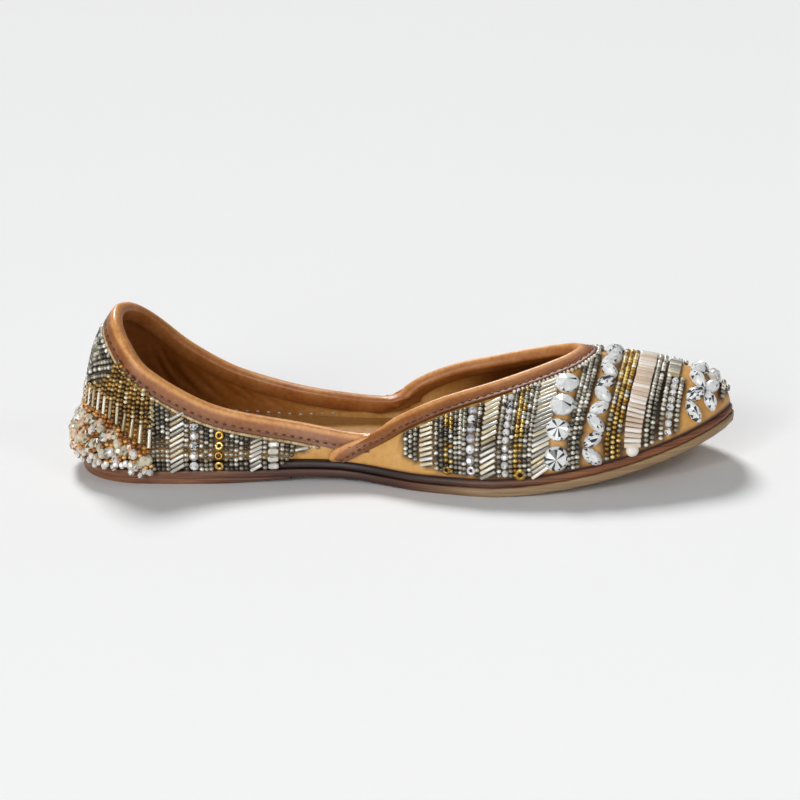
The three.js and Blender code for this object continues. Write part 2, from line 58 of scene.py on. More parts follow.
# %% [markdown]
# The photograph looks at the outer side of the shoe, from a little in front and above, and the picture
# leans a few degrees. The camera stands at the distance that was worked out from the outlines. Only its
# lens is longer, so that the one shoe fills the picture without a change of perspective.

# %% The camera
AZIMUTH, ELEVATION, ROLL = 11.9, 18.8, -3.7  # degrees
DISTANCE = 0.867  # metres
AIM = Vector((0.003, -0.003, 0.024))
LENS = 104
SIGHT_END = 50  # metres


def camera_axes():
    """The camera's right, up and back, from its three angles."""
    azimuth, elevation, roll = (math.radians(a) for a in (AZIMUTH, ELEVATION, ROLL))
    level = math.cos(elevation)
    back = Vector((math.sin(azimuth) * level, -math.cos(azimuth) * level, math.sin(elevation)))
    right = Vector((math.cos(azimuth), math.sin(azimuth), 0))
    up = back.cross(right)
    return right * math.cos(roll) + up * math.sin(roll), up * math.cos(roll) - right * math.sin(roll), back


bpy.ops.object.camera_add()
camera = bpy.context.object
camera.name = "camera"
right, up, back = camera_axes()
stand = AIM + back * DISTANCE
camera.matrix_world = Matrix.Translation(stand) @ Matrix((right, up, back)).transposed().to_4x4()
camera.data.lens = LENS
camera.data.clip_end = SIGHT_END
bpy.context.scene.camera = camera
print("the camera stands at", [round(part, 3) for part in stand], "m")

# %% [markdown]
# The form of the shoe is a wall drawn between two closed curves: the feather line, where the upper meets
# the sole, and the topline round the foot opening. The solids were cut from this wall, so the same short
# tables give fine leather, strips and beads that lie exactly on them. All sizes here are a shoemaker's
# millimetres, counted from the end of the heel.

# %% The sizes of the sole
SHOE_LENGTH = 250
HEEL_CENTRE, HEEL_HALF = 32, 28.5
OUTER, INNER = -1, 1
BALL_AT = {OUTER: 168, INNER: 174}
BALL_HALF = 40.8
HEEL_FRONT = (60, 27.9)
WAIST = (105, 24.6)
BEHIND_BALL, BEHIND_BALL_HALF = 26, 35.6
TOE_POWER, TOE_ROOT = 2.1, 0.59
TOE_INSWING, INSWING_FROM = 5, 75
TOE_SPRING, TOE_SPRING_POWER, SPRING_FROM = 15.5, 1.8, 162
LIFT_END, TREAD_FLAT_FROM = 88, 140
LIFT_THICK, OUTSOLE_THICK, MIDSOLE_THICK = 2, 2.8, 2.6
GAP = 0.3
SOLE_END = 0.12  # the turn that the sole's outline starts at
print("the sole is", SHOE_LENGTH, "mm long and", 2 * BALL_HALF, "mm wide at the ball")

# %% [markdown]
# The upper is measured as a last maker does it, section by section from the heel round to the toe. A row of
# the table says where the wall's foot and its top lie, and how steeply it leaves the one and reaches the
# other. A short table like this is easier to correct than hundreds of loose points.

# %% The sizes of the upper
WALL, VAMP_STEP, FEATHER_INSET = 2, 1.2, 2.6
WING_EDGE, QUARTER_END, LAST = 6, 7.4, 12
WING_LEAN = 0.3
ROUND = 2 * LAST
BINDING_THICK, BINDING_OUT, BINDING_IN = 1, 6, 5
COLUMNS = ["at", "foot", "top_x", "top_half", "top_z", "flare", "lean", "low", "high"]
SECTIONS = [
    (0, 0, 19.2, 0, 60.6, -7, 43, 0.4, 0.32),  # heel middle
    (1, 4, 20.6, 8.4, 59.2, -6, 39, 0.4, 0.32),  # heel round
    (2, 14, 25.6, 17.2, 53.2, -4, 29, 0.4, 0.33),  # heel corner
    (3, 31, 34.5, 22, 43.2, 0, 18, 0.39, 0.35),  # heel side
    (4, 58, 60, 21.8, 28, 4, 18, 0.4, 0.36),  # quarter
    (5, 82, 90, 19.4, 20.8, 4, 30, 0.42, 0.36),  # waist
    (6, 98, 117, 21.4, 16.8, 4, 60, 0.42, 0.36),  # wing edge
    (7, 122, 130, 21.2, 23.4, 8, 42, 0.47, 0.38),  # wing
    (8, 148, 146, 19.4, 29.6, 10, 48, 0.5, 0.4),  # wing front
    (9, 178, 165, 15.8, 34.2, 10, 58, 0.56, 0.42),  # ball
    (10, 212, 183, 10, 38.8, 6, 68, 0.56, 0.48),  # toe side
    (11, 238, 191.4, 5, 41, 3, 76, 0.59, 0.54),  # toe round
    (12, 250, 194, 0, 41.6, 0, 79, 0.6, 0.58),  # toe middle
]
print("sections on each side:", len(SECTIONS))

# %% [markdown]
# A shoe has no corners along its length, so curves join the rows of the table. A curve passes through every
# value and never swings past it, because a bulge between two sections would spoil the form.

# %% Curves through the tables
def smooth(t):
    """Goes from 0 to 1 with a gentle start and end."""
    s = np.clip(t, 0, 1)
    return s * s * (3 - 2 * s)


def curve(at, value, flat_ends=True):
    """A smooth curve through a few values, which never overshoots them."""
    at, value = np.array(at, float), np.array(value, float)
    width = np.diff(at)
    rise = np.diff(value) / width
    slope = np.zeros(len(at))
    before, after = rise[:-1], rise[1:]
    a, b = 2 * width[1:] + width[:-1], width[1:] + 2 * width[:-1]
    keeps = before * after > 0
    down, up = np.where(keeps, before, 1), np.where(keeps, after, 1)
    slope[1:-1] = np.where(keeps, (a + b) / (a / down + b / up), 0)
    if not flat_ends:
        slope[0], slope[-1] = rise[0], rise[-1]

    def value_at(place):
        place = np.clip(place, at[0], at[-1])
        i = np.clip(np.searchsorted(at, place) - 1, 0, len(at) - 2)
        w = width[i]
        s = (place - at[i]) / w
        start = s * (1 - s) ** 2 * w * slope[i]
        end = s * s * (s - 1) * w * slope[i + 1]
        return value[i] + (value[i + 1] - value[i]) * smooth(s) + start + end

    return value_at


table = dict(zip(COLUMNS, zip(*SECTIONS)))
form = {name: curve(table["at"], table[name], name != "top_half") for name in COLUMNS[1:]}
print("the topline is", form["top_z"](0), "mm high at the heel and", form["top_z"](LAST), "mm at the throat")

# %% [markdown]
# The sole is flat leather cut round a pattern: a half circle at the heel, a narrow waist, the ball, and a
# toe that turns in a little. From the side its underside rises over the arch and springs up at the toe. Both
# are short formulas, so that every layer of the sole can follow them.

# %% The outline and the underside of the sole
def waist_curve(side):
    """Half the width of the sole on one side, from the heel to the ball."""
    ball = BALL_AT[side]
    behind = (ball - BEHIND_BALL, BEHIND_BALL_HALF)
    return curve(*zip((HEEL_CENTRE, HEEL_HALF), HEEL_FRONT, WAIST, behind, (ball, BALL_HALF)))


waist = {side: waist_curve(side) for side in (OUTER, INNER)}


def half_width(x, side):
    x, side = np.broadcast_arrays(np.asarray(x, float), side)
    behind = np.clip((HEEL_CENTRE - x) / HEEL_CENTRE, 0, 1)
    heel = HEEL_HALF * np.sqrt(1 - behind**2)
    ball = np.where(side == OUTER, BALL_AT[OUTER], BALL_AT[INNER])
    middle = np.where(side == OUTER, waist[OUTER](x), waist[INNER](x))
    front = np.clip((x - ball) / (SHOE_LENGTH - ball), 0, 1)
    toe = BALL_HALF * (1 - front**TOE_POWER) ** TOE_ROOT
    return np.where(x <= HEEL_CENTRE, heel, np.where(x <= ball, middle, toe))


def centre_line(x):
    return TOE_INSWING * smooth((x - INSWING_FROM) / (SHOE_LENGTH - INSWING_FROM))


def tread(x):
    drop = smooth((x - LIFT_END) / (TREAD_FLAT_FROM - LIFT_END))
    front = np.clip((x - SPRING_FROM) / (SHOE_LENGTH - SPRING_FROM), 0, None)
    return (LIFT_THICK + GAP) * (1 - drop) + TOE_SPRING * front**TOE_SPRING_POWER


def midsole_top(x):
    return tread(x) + OUTSOLE_THICK + GAP + MIDSOLE_THICK


print("the toe's tip springs", tread(SHOE_LENGTH).round(1), "mm up")

# %% [markdown]
# The wall rises from the feather line in a bow, and a cubic curve with two handles draws it: one handle
# leaves the sole and the other arrives at the topline. A place on the shoe is then two numbers: turn, which
# goes once round the shoe, from 0 to 24, and v, the share of the height.

# %% Points of the wall
EDGE_STEP = 0.02
TURN_STEP, SHARE_STEP, SHARE_END = 0.03, 0.01, 0.002


def unit(v):
    return v / np.linalg.norm(v, axis=-1, keepdims=True)


def dot(a, b):
    return (a * b).sum(-1)


def at_height(level, z):
    """Points of the plan, lifted to a height."""
    return np.concatenate([level, np.broadcast_to(z, level.shape[:-1])[..., None]], -1)


def section_and_side(turn):
    """The section of the table, 0 to 12, and the side of the shoe that a turn lies on."""
    turn = np.mod(turn, ROUND)
    return np.where(turn <= LAST, turn, ROUND - turn), np.where(turn <= LAST, OUTER, INNER)


def section_of(turn):
    return section_and_side(turn)[0]


def edge_point(turn):
    section, side = section_and_side(turn)
    x = form["foot"](section)
    return np.stack([x, centre_line(x) + side * half_width(x, side)], -1)


def edge_normal(turn):
    along = unit(edge_point(turn + EDGE_STEP) - edge_point(turn - EDGE_STEP))
    return np.stack([along[..., 1], -along[..., 0]], -1)


def inset_point(turn, inset):
    return edge_point(turn) - edge_normal(turn) * np.asarray(inset)[..., None]


def tilted(level, degrees, length):
    """A handle of this length, that many degrees from upright toward a way in the plan."""
    a = np.radians(degrees)
    return at_height(level * np.sin(a)[..., None], np.cos(a)) * length[..., None]


def wall_point(turn, v):
    """A point of the wall: turn goes round the shoe and v from its foot to its top."""
    turn, v = np.broadcast_arrays(np.asarray(turn, float), np.asarray(v, float))
    section, side = section_and_side(turn)
    start = at_height(inset_point(turn, FEATHER_INSET), midsole_top(form["foot"](section)) + GAP)
    x = form["top_x"](section)
    end = np.stack([x, centre_line(x) + side * form["top_half"](section), form["top_z"](section)], -1)
    chord = np.linalg.norm(end - start, axis=-1)
    rise = end[..., 2] - start[..., 2]
    leaving = tilted(edge_normal(turn), form["flare"](section), rise * form["low"](section))
    arriving = tilted(unit((end - start)[..., :2]), form["lean"](section), chord * form["high"](section))
    w = v[..., None]
    a, b = start + leaving, end - arriving
    return start * (1 - w) ** 3 + 3 * a * w * (1 - w) ** 2 + 3 * b * w**2 * (1 - w) + end * w**3


def wall_normal(turn, v):
    v = np.clip(v, SHARE_STEP, 1 - SHARE_STEP)
    low = np.maximum(v - SHARE_STEP, SHARE_END)
    high = np.minimum(v + SHARE_STEP, 1 - SHARE_END)
    middle = (low + high) / 2
    along = wall_point(turn + TURN_STEP, middle) - wall_point(turn - TURN_STEP, middle)
    return unit(np.cross(along, wall_point(turn, high) - wall_point(turn, low)))


print("the wall's foot at the heel:", wall_point(0, 0).round(1), "and its top:", wall_point(0, 1).round(1))

# %% [markdown]
# The vamp laps over the quarter, so the outside is a step higher in front of the wing's cut edge. Strips,
# linings and beads are all laid a small distance off one of the wall's two faces.

# %% The two faces of the wall
def wing_edge(v):
    """The vamp's wing ends here, as a section. Toward the sole its cut edge runs forward."""
    return WING_EDGE + WING_LEAN * (1 - np.clip(v, 0, 1)) ** 1.2


def outside(turn, v, off):
    """A point that stands off the upper's outside, which is a step higher on the vamp."""
    lift = np.where(section_of(turn) > wing_edge(v), VAMP_STEP, 0) + off
    return wall_point(turn, v) + wall_normal(turn, v) * lift[..., None]


def inside(turn, v, off):
    """A point that stands off the upper's inside, where the leather is thicker behind the wing."""
    thin = VAMP_STEP * smooth((section_of(turn) - WING_EDGE) / (QUARTER_END - WING_EDGE))
    return wall_point(turn, v) - wall_normal(turn, v) * (WALL - thin + off)[..., None]


print("the vamp starts at section", wing_edge(1), "by the topline and", wing_edge(0), "by the sole")

# %% [markdown]
# A cobbler sets compasses to a width and runs them along an edge to mark where a strip ends or a seam goes.
# The walk does that: it goes over the leather in small steps, each along the surface, for a true distance.

# %% Walking over the wall
BELOW_FEATHER = -0.1
REACH = 0.01


def walk(turn, v, direction, distance, steps=12):
    """Walks a distance over the wall in a direction, and gives the turns and shares reached."""
    turn, v = np.array(turn, float), np.array(v, float)
    heading = direction.copy()
    for _ in range(steps):
        low, high = np.maximum(v - REACH, BELOW_FEATHER), np.minimum(v + REACH, 1)
        by_turn = (wall_point(turn + REACH, v) - wall_point(turn - REACH, v)) / (2 * REACH)
        by_share = (wall_point(turn, high) - wall_point(turn, low)) / (high - low)[:, None]
        normal = wall_normal(turn, v)
        heading = unit(heading - normal * dot(heading, normal)[:, None])
        a, b, c = dot(by_turn, by_turn), dot(by_turn, by_share), dot(by_share, by_share)
        p, q = dot(by_turn, heading), dot(by_share, heading)
        step = distance / steps / (a * c - b * b)
        turn = turn + step * (p * c - q * b)
        v = np.clip(v + step * (q * a - p * b), BELOW_FEATHER, 1)
    return turn, v


def into_wall(turn):
    """The direction straight down into the wall from its topline."""
    along = wall_point(turn + TURN_STEP, 1) - wall_point(turn - TURN_STEP, 1)
    return unit(np.cross(along, wall_normal(turn, np.ones_like(turn))))


def below_top(turn, distance):
    """The places this far below the topline."""
    turn = np.asarray(turn, float)
    return walk(turn, np.ones_like(turn), into_wall(turn), distance)


binding_low = below_top([0], BINDING_OUT)[1][0]
print("at the heel the binding's lower edge lies at", binding_low.round(3), "of the height")

# %% [markdown]
# The shoemaker's millimetres start at the end of the heel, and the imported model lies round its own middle.
# The lowest corner of the outsole is known in both, so it says how far the one lies from the other.

# %% Where the shoe lies in the scene
outline = edge_point(np.linspace(0, ROUND, 2401))
outsole_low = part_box("outsole")[0]
ORIGIN = np.array([
    outsole_low.x / MM - edge_point(SOLE_END)[0],
    outsole_low.y / MM - outline[:, 1].min(),
    0,
])


def to_scene(points):
    """Points of the shoe in the scene's metres."""
    return (points + ORIGIN) * MM


print("the shoe's own zero lies at", ORIGIN.round(2), "mm")

# %% [markdown]
# A surface in Blender is a tree of nodes that ends in a shader. Colours are written here as on a screen, in
# sRGB, and shaders want linear light, so one function turns the one into the other. Another adds a node of
# any kind, and a third starts a material with what is the same all over its surface.

# %% Colours, nodes and materials
MULTIPLY = {"data_type": "RGBA", "blend_type": "MULTIPLY"}


def linear(code):
    """An sRGB colour such as "#C99A5A" as the linear values that a shader takes."""
    parts = [int(code[i : i + 2], 16) / 255 for i in (1, 3, 5)]
    return (*(p / 12.92 if p <= 0.04045 else ((p + 0.055) / 1.055) ** 2.4 for p in parts), 1)


def add(tree, kind, inputs=None, stops=None, **settings):
    """Adds a node with its settings, and fills its sockets with values or with other nodes' outputs. A colour
    ramp also has stops, each a place and a colour."""
    node = tree.nodes.new(kind)
    for name, value in settings.items():
        setattr(node, name, value)
    for name, value in (inputs or {}).items():
        if isinstance(value, bpy.types.NodeSocket):
            tree.links.new(value, node.inputs[name])
        else:
            node.inputs[name].default_value = value
    if stops:
        tones = node.color_ramp.elements
        while len(tones) < len(stops):
            tones.new(0.5)
        for tone, (place, code) in zip(tones, stops):
            tone.position = place
            tone.color = linear(code)
    return node


def material(name, **constants):
    """A material whose shader has these constants on its own sockets. Gives its tree and its shader too."""
    made = bpy.data.materials.new(name)
    made.use_nodes = True
    shader = made.node_tree.nodes["Principled BSDF"]
    for socket, value in constants.items():
        shader.inputs[socket.replace("_", " ")].default_value = value
    return made, made.node_tree, shader


print("the middle grey #808080 is", round(linear("#808080")[0], 3), "in linear light")

# %% [markdown]
# A studio floor is one big sheet of pale paper. It is matt, so the shoe leaves a soft shadow on it and no
# reflection, and it is so big that no edge of it comes into the picture.

# %% The floor
FLOOR_SIZE = 12  # metres
FLOOR_GREY = "#EFEFEF"
bpy.ops.object.select_all(action="DESELECT")
bpy.ops.mesh.primitive_plane_add(size=FLOOR_SIZE)
floor = bpy.context.object
floor.name = "studio_floor"
paper = material("matt_paper", Base_Color=linear(FLOOR_GREY), Roughness=0.9)[0]
floor.data.materials.append(paper)
print(floor.name, FLOOR_SIZE, "m wide")

# %% [markdown]
# Glass and foil show what stands round them. So the room isn't evenly white: it has bright bands, as from
# softboxes, with grey between them, and soft patches break the bands up.

# %% The light of the room
SKY = [
    (0, "#DCDCDC"), (0.22, "#FFFFFF"), (0.27, "#66686C"), (0.4, "#66686C"),
    (0.46, "#FFFFFF"), (0.62, "#FFFFFF"), (0.7, "#66686C"), (1, "#A0A2A6"),
]
PATCHES = [(0.4, "#8A8C90"), (0.5, "#FFFFFF")]
PATCH_SCALE = 3.5
SKY_STRENGTH = 0.47
world = bpy.data.worlds.new("studio")
bpy.context.scene.world = world
world.use_nodes = True
sky_tree = world.node_tree
sky_way = add(sky_tree, "ShaderNodeTexCoord").outputs["Generated"]
sky_height = add(sky_tree, "ShaderNodeSeparateXYZ", {"Vector": sky_way}).outputs["Z"]
patchy = add(sky_tree, "ShaderNodeTexNoise", {"Vector": sky_way, "Scale": PATCH_SCALE}).outputs["Fac"]
bands = add(sky_tree, "ShaderNodeValToRGB", {"Fac": sky_height}, SKY).outputs["Color"]
panels = add(sky_tree, "ShaderNodeValToRGB", {"Fac": patchy}, PATCHES).outputs["Color"]
room = add(sky_tree, "ShaderNodeMix", {"Factor": 1.0, "A": bands, "B": panels}, **MULTIPLY)
background = sky_tree.nodes["Background"]
sky_tree.links.new(room.outputs["Result"], background.inputs["Color"])
background.inputs["Strength"].default_value = SKY_STRENGTH
print("bands of the room:", len(SKY))

# %% [markdown]
# The key light comes from behind and above on the left. It throws the soft shadow in front of the shoe and
# leaves its inside dark. A wide fill comes from the front, and two small lamps put a spark on every bead.

# %% The lamps
def aim(lamp, name):
    """Turns a lamp toward the shoe."""
    lamp.name = name
    lamp.rotation_euler = (AIM - lamp.location).to_track_quat("-Z", "Y").to_euler()
    return lamp


def area_light(name, place, size, power):
    """A round lamp of this size in metres and power in watts."""
    bpy.ops.object.light_add(type="AREA", location=place)
    lamp = aim(bpy.context.object, name)
    lamp.data.shape = "DISK"
    lamp.data.size = size
    lamp.data.energy = power


def far_light(name, place, spread_angle, strength):
    """A light from far away. The wider its spread, the softer its shadow."""
    bpy.ops.object.light_add(type="SUN", location=place)
    lamp = aim(bpy.context.object, name)
    lamp.data.angle = math.radians(spread_angle)
    lamp.data.energy = strength


far_light("key_light", (-0.45, 1.0, 1.15), spread_angle=16, strength=2.65)
far_light("fill_light", (-0.5, -1.6, 0.7), spread_angle=40, strength=1.3)
area_light("front_lamp", (-0.5, -1.2, 0.9), size=0.22, power=2)
area_light("side_lamp", (1.0, -0.6, 1.0), size=0.2, power=1.5)
bpy.context.scene.view_settings.view_transform = "Standard"

# %% [markdown]
# Leather is cut flat and pulled over a last. Here a flat grid plays the blank: the grid primitive is
# added, and each of its points is laid on the form. Solidify then gives the leather its thickness, which
# keeps both faces an even distance apart, as a hide does.

# %% Laying a blank over the form
def only(piece):
    """Selects this piece and nothing else."""
    bpy.ops.object.select_all(action="DESELECT")
    piece.select_set(True)
    bpy.context.view_layer.objects.active = piece


def blank(name, points):
    """A grid laid on points[column, row], in the shoe's millimetres, with a UV map in metres."""
    columns, rows = points.shape[:2]
    bpy.ops.object.select_all(action="DESELECT")
    bpy.ops.mesh.primitive_grid_add(x_subdivisions=columns - 1, y_subdivisions=rows - 1, size=1)
    piece = bpy.context.object
    piece.name = piece.data.name = name
    flat = np.empty(len(piece.data.vertices) * 3)
    piece.data.vertices.foreach_get("co", flat)
    column = np.rint((flat[0::3] + 0.5) * (columns - 1)).astype(int)
    row = np.rint((flat[1::3] + 0.5) * (rows - 1)).astype(int)
    piece.data.vertices.foreach_set("co", to_scene(points[column, row]).ravel())
    along = np.linalg.norm(np.diff(points[:, rows // 2], axis=0), axis=-1).sum() * MM
    across = np.linalg.norm(np.diff(points[columns // 2], axis=0), axis=-1).sum() * MM
    spots = np.empty(len(piece.data.loops) * 2)
    uv = piece.data.uv_layers[0].data
    uv.foreach_get("uv", spots)
    uv.foreach_set("uv", (spots.reshape(-1, 2) * (along, across)).ravel())
    return piece


# %% [markdown]
# Leather is finished at the bench: edges are rounded, seams closed, surfaces burnished. A modifier rounds or
# thickens here, and it is applied at once, so that the next step works on real points. Every finished piece
# is handed to the frame by the same few calls.

# %% Finishing a piece
WELD_REACH = 0.02


def modify(piece, kind, **settings):
    """Adds a modifier with these settings and applies it."""
    only(piece)
    bpy.ops.object.modifier_add(type=kind)
    modifier = piece.modifiers[-1]
    for name, value in settings.items():
        setattr(modifier, name, value)
    bpy.ops.object.modifier_apply(modifier=modifier.name)


def weld(piece, distance=WELD_REACH):
    """Merges the points of a seam that lie on each other."""
    only(piece)
    bpy.ops.object.mode_set(mode="EDIT")
    bpy.ops.mesh.select_all(action="SELECT")
    bpy.ops.mesh.remove_doubles(threshold=distance * MM)
    bpy.ops.object.mode_set(mode="OBJECT")


def smooth_shade(piece, degrees):
    """Smooth shading, but for edges that are sharper than this."""
    only(piece)
    bpy.ops.object.shade_smooth_by_angle(angle=math.radians(degrees))


def finished(piece, slot, *replaced):
    """Hands a finished piece to the frame: it rides on the shoe and may stand for solids."""
    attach(piece, "root")
    if replaced:
        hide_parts(*replaced)
    print(piece.name, len(piece.data.polygons), "faces")
    return piece


# %% [markdown]
# Leather is never one colour. It drifts over a few centimetres, where the hide was fatter or leaner, and its
# grain is finer than a millimetre. Two noises mix the colour for that, and a pattern of small cells gives
# the bump. Tones multiply it: across a piece from its edge, along the shoe, and under the beads. They paint
# a highlight over a strip's fold, shade down its legs, shade inside the lining's heel and toe, and shade
# between the beads, and they darken the upper at its foot.

# %% Leather
COAT_ROUGHNESS = 0.35
FINE_SPOTS = 2.5  # grains
TONES_FROM, TONES_TO = 0.65, 1.35
PORE_DEPTH = 0.15


def leather(name, stops, grain, bump, roughness, coat, drift=22, across=None, along=None, shade_under_beads=None):
    """Leather whose colour drifts through the stops. grain and drift are sizes in millimetres. across holds
    tones by the distance from a strip's outer edge, and along by the place on the shoe's length."""
    made, tree, shader = material(name, Roughness=roughness, Coat_Weight=coat, Coat_Roughness=COAT_ROUGHNESS)
    spot = add(tree, "ShaderNodeTexCoord").outputs["Object"]
    broad = add(tree, "ShaderNodeTexNoise", {"Vector": spot, "Scale": 1 / (drift * MM), "Detail": 3.0})
    spots = {"Vector": spot, "Scale": 1 / (grain * FINE_SPOTS * MM), "Detail": 4.0}
    fine = add(tree, "ShaderNodeTexNoise", spots).outputs["Fac"]
    both = add(tree, "ShaderNodeMath", {0: broad.outputs["Fac"], 1: fine}, operation="ADD").outputs[0]
    share = add(tree, "ShaderNodeMapRange", {"Value": both, "From Min": TONES_FROM, "From Max": TONES_TO})
    colour = add(tree, "ShaderNodeValToRGB", {"Fac": share.outputs[0]}, stops).outputs["Color"]
    cells = add(tree, "ShaderNodeTexVoronoi", {"Vector": spot, "Scale": 1 / (grain * MM)}).outputs["Distance"]
    pores = add(tree, "ShaderNodeMath", {0: cells, 1: fine}, operation="ADD").outputs[0]
    relief = add(tree, "ShaderNodeBump", {"Height": pores, "Strength": bump, "Distance": PORE_DEPTH * MM})
    tree.links.new(relief.outputs["Normal"], shader.inputs["Normal"])
    tones = []
    if across:
        strip_spot = add(tree, "ShaderNodeUVMap").outputs["UV"]
        tones.append((add(tree, "ShaderNodeSeparateXYZ", {"Vector": strip_spot}).outputs["Y"], across))
    if along:
        tones.append((add(tree, "ShaderNodeSeparateXYZ", {"Vector": spot}).outputs["X"], along))
    for place, steps in tones:
        first, last = steps[0][0], steps[-1][0]
        reach = {"Value": place, "From Min": first * MM, "From Max": last * MM}
        far = add(tree, "ShaderNodeMapRange", reach).outputs[0]
        steps = [((at - first) / (last - first), code) for at, code in steps]
        tone = add(tree, "ShaderNodeValToRGB", {"Fac": far}, steps).outputs["Color"]
        toned = add(tree, "ShaderNodeMix", {"Factor": 1.0, "A": colour, "B": tone}, **MULTIPLY)
        colour = toned.outputs["Result"]
    # Painted shade between the beads: the colour is darkened by the shade_under_beads number.
    if shade_under_beads:
        shaded = add(tree, "ShaderNodeAttribute", attribute_name="shade_under_beads").outputs["Fac"]
        painted_bead_shade = add(tree, "ShaderNodeValToRGB", {"Fac": shaded}, [(0, "#FFFFFF"), (1, shade_under_beads)])
        inputs = {"Factor": 1.0, "A": colour, "B": painted_bead_shade.outputs["Color"]}
        colour = add(tree, "ShaderNodeMix", inputs, **MULTIPLY).outputs["Result"]
    tree.links.new(colour, shader.inputs["Base Color"])
    return made


# %% [markdown]
# The upper is vegetable-tanned leather: pale honey tan, with a closed grain and a satin surface that lets
# broad, soft lights run over it. It is darker in the last few millimetres at its foot. The lining is thinner
# and glazed, so it shines more, and it is painted darker inside the heel and inside the toe as shade, where
# little light reaches.

# %% The leathers of the upper
honey_leather = leather(
    "vegetable_tanned_leather",
    [(0, "#CA9048"), (0.5, "#D8A256"), (1, "#E0B068")],
    # shade_under_beads: the upper is painted dark between the beads, as shade in the gaps
    grain=0.9, bump=0.2, roughness=0.5, coat=0.12, shade_under_beads="#3E3426",
    # across: darker over the first three millimetres above the foot, darkest in the first
    across=[(0, "#2E1C10"), (0.9, "#3E2818"), (1.9, "#D8CCBC"), (3.2, "#FFFFFF")],
)
lining_leather = leather(
    "glazed_lining_leather",
    [(0, "#C48C44"), (0.5, "#DAA45A"), (1, "#EABC7A")],
    grain=0.8, bump=0.2, roughness=0.42, coat=0.2,
    # painted shade: the lining is darker inside the heel and inside the toe, where little light reaches, and
    # full tone at the waist
    along=[
        (-125, "#A07C58"), (-60, "#C0A07C"), (-15, "#FFFFFF"),
        (15, "#FFFFFF"), (35, "#9A7658"), (60, "#6E4C34"),
    ],
)
print(honey_leather.name, "has", len(honey_leather.node_tree.nodes), "nodes")

# %% [markdown]
# The upper is one blank here, wrapped once round the last and closed at the middle of the heel. Its columns
# stand closer at the wing's edge and lean with it, so that the step from vamp to quarter stays sharp.

# %% The outside of the upper
LEATHER_THICK = 0.95
STEP_HALF, STEP_REACH = 0.012, 0.5
COLUMNS_A_TURN, WALL_ROWS = 12, 33
fine_turns = np.linspace(0, ROUND, ROUND * COLUMNS_A_TURN + 1)
edges = (WING_EDGE, ROUND - WING_EDGE)
wing_stops = [edge + side * STEP_HALF for edge in edges for side in (-1, 1)]
upper_turns = np.sort(np.concatenate([fine_turns[~np.isin(fine_turns, edges)], wing_stops]))
upper_shares = np.linspace(0, 1, WALL_ROWS)


def over_wall(turns, shares, face):
    """The points of one face at all these turns and shares."""
    turn, v = np.meshgrid(turns, shares, indexing="ij")
    return face(turn, v)


def upper_face(turn, v):
    """The outside of the upper. Stops near the wing's edge follow it, so that the step stays sharp."""
    section, side = section_and_side(turn)
    near = np.clip(1 - abs(section - WING_EDGE) / STEP_REACH, 0, 1)
    return outside(turn - side * near * (wing_edge(v) - WING_EDGE), v, 0)


outer_skin = blank("upper_leather", over_wall(upper_turns, upper_shares, upper_face))
weld(outer_skin)
modify(outer_skin, "SOLIDIFY", thickness=LEATHER_THICK * MM, offset=-1)
smooth_shade(outer_skin, 35)
outer_skin.data.materials.append(honey_leather)
finished(outer_skin, "upper_leather", "upper")

# %% [markdown]
# The lining is thin and glued in, so it wrinkles where the quarter bends. The wrinkles are listed one by one
# on the form: each is a soft trough with its place, lean, length, width and depth. The vamp's lining laps over
# the quarter's, which leaves a low step inside the waist.

# %% The lining
WRINKLES = [  # turn, share of the height, lean in degrees, length, width and depth in millimetres
    (-2.7, 0.5, 52, 15, 1.3, 0.51),
    (-2.95, 0.55, 50, 17, 1.2, 0.71),
    (-3.15, 0.5, 46, 16, 1.1, 0.61),
    (-3.35, 0.58, 42, 15, 1.1, 0.75),
    (-3.52, 0.5, 40, 16, 1, 0.61),
    (-3.7, 0.58, 36, 14, 1.1, 0.68),
    (-3.88, 0.52, 33, 15, 1, 0.51),
    (-4.1, 0.55, 30, 13, 1.2, 0.54),
    (-4.4, 0.5, 26, 14, 1.4, 0.44),
    (-4.9, 0.55, 24, 13, 1.6, 0.41),
    (3, 0.5, 48, 15, 1.4, 0.58),
    (3.5, 0.55, 42, 14, 1.3, 0.51),
    (4, 0.5, 35, 14, 1.4, 0.51),
    (0.6, 0.6, 80, 16, 2.4, 0.51),
    (-0.9, 0.55, 100, 14, 2.2, 0.51),
]
LAP_SECTION, LAP_SPREAD, LAP_HEIGHT, LAP_SOFTNESS = 6.5, 0.9, 0.7, 0.06
LINING_THICK = 0.7
LINING_COLUMNS_A_TURN, LINING_ROWS = 26, 45


def wrinkle_depth(turn, v, near=0.1):
    """How deep all the wrinkles together press the lining in at a place."""
    depth = np.zeros_like(turn)
    for at, share, lean, length, width, deep in WRINKLES:
        by_turn = np.linalg.norm(wall_point(at + near, share) - wall_point(at - near, share)) / (2 * near)
        by_share = np.linalg.norm(wall_point(at, share + near) - wall_point(at, share - near)) / (2 * near)
        around = (np.mod(turn - at + LAST, ROUND) - LAST) * by_turn
        up = (v - share) * by_share
        a = math.radians(lean)
        along, aside = around * math.cos(a) + up * math.sin(a), up * math.cos(a) - around * math.sin(a)
        depth += deep * np.exp(-((aside / width) ** 2) - (2 * along / length) ** 4)
    return depth


def lining_face(turn, v):
    past_edge = section_of(turn) - LAP_SECTION - LAP_SPREAD * (1 - v)
    return inside(turn, v, LAP_HEIGHT * smooth(past_edge / LAP_SOFTNESS) - wrinkle_depth(turn, v))


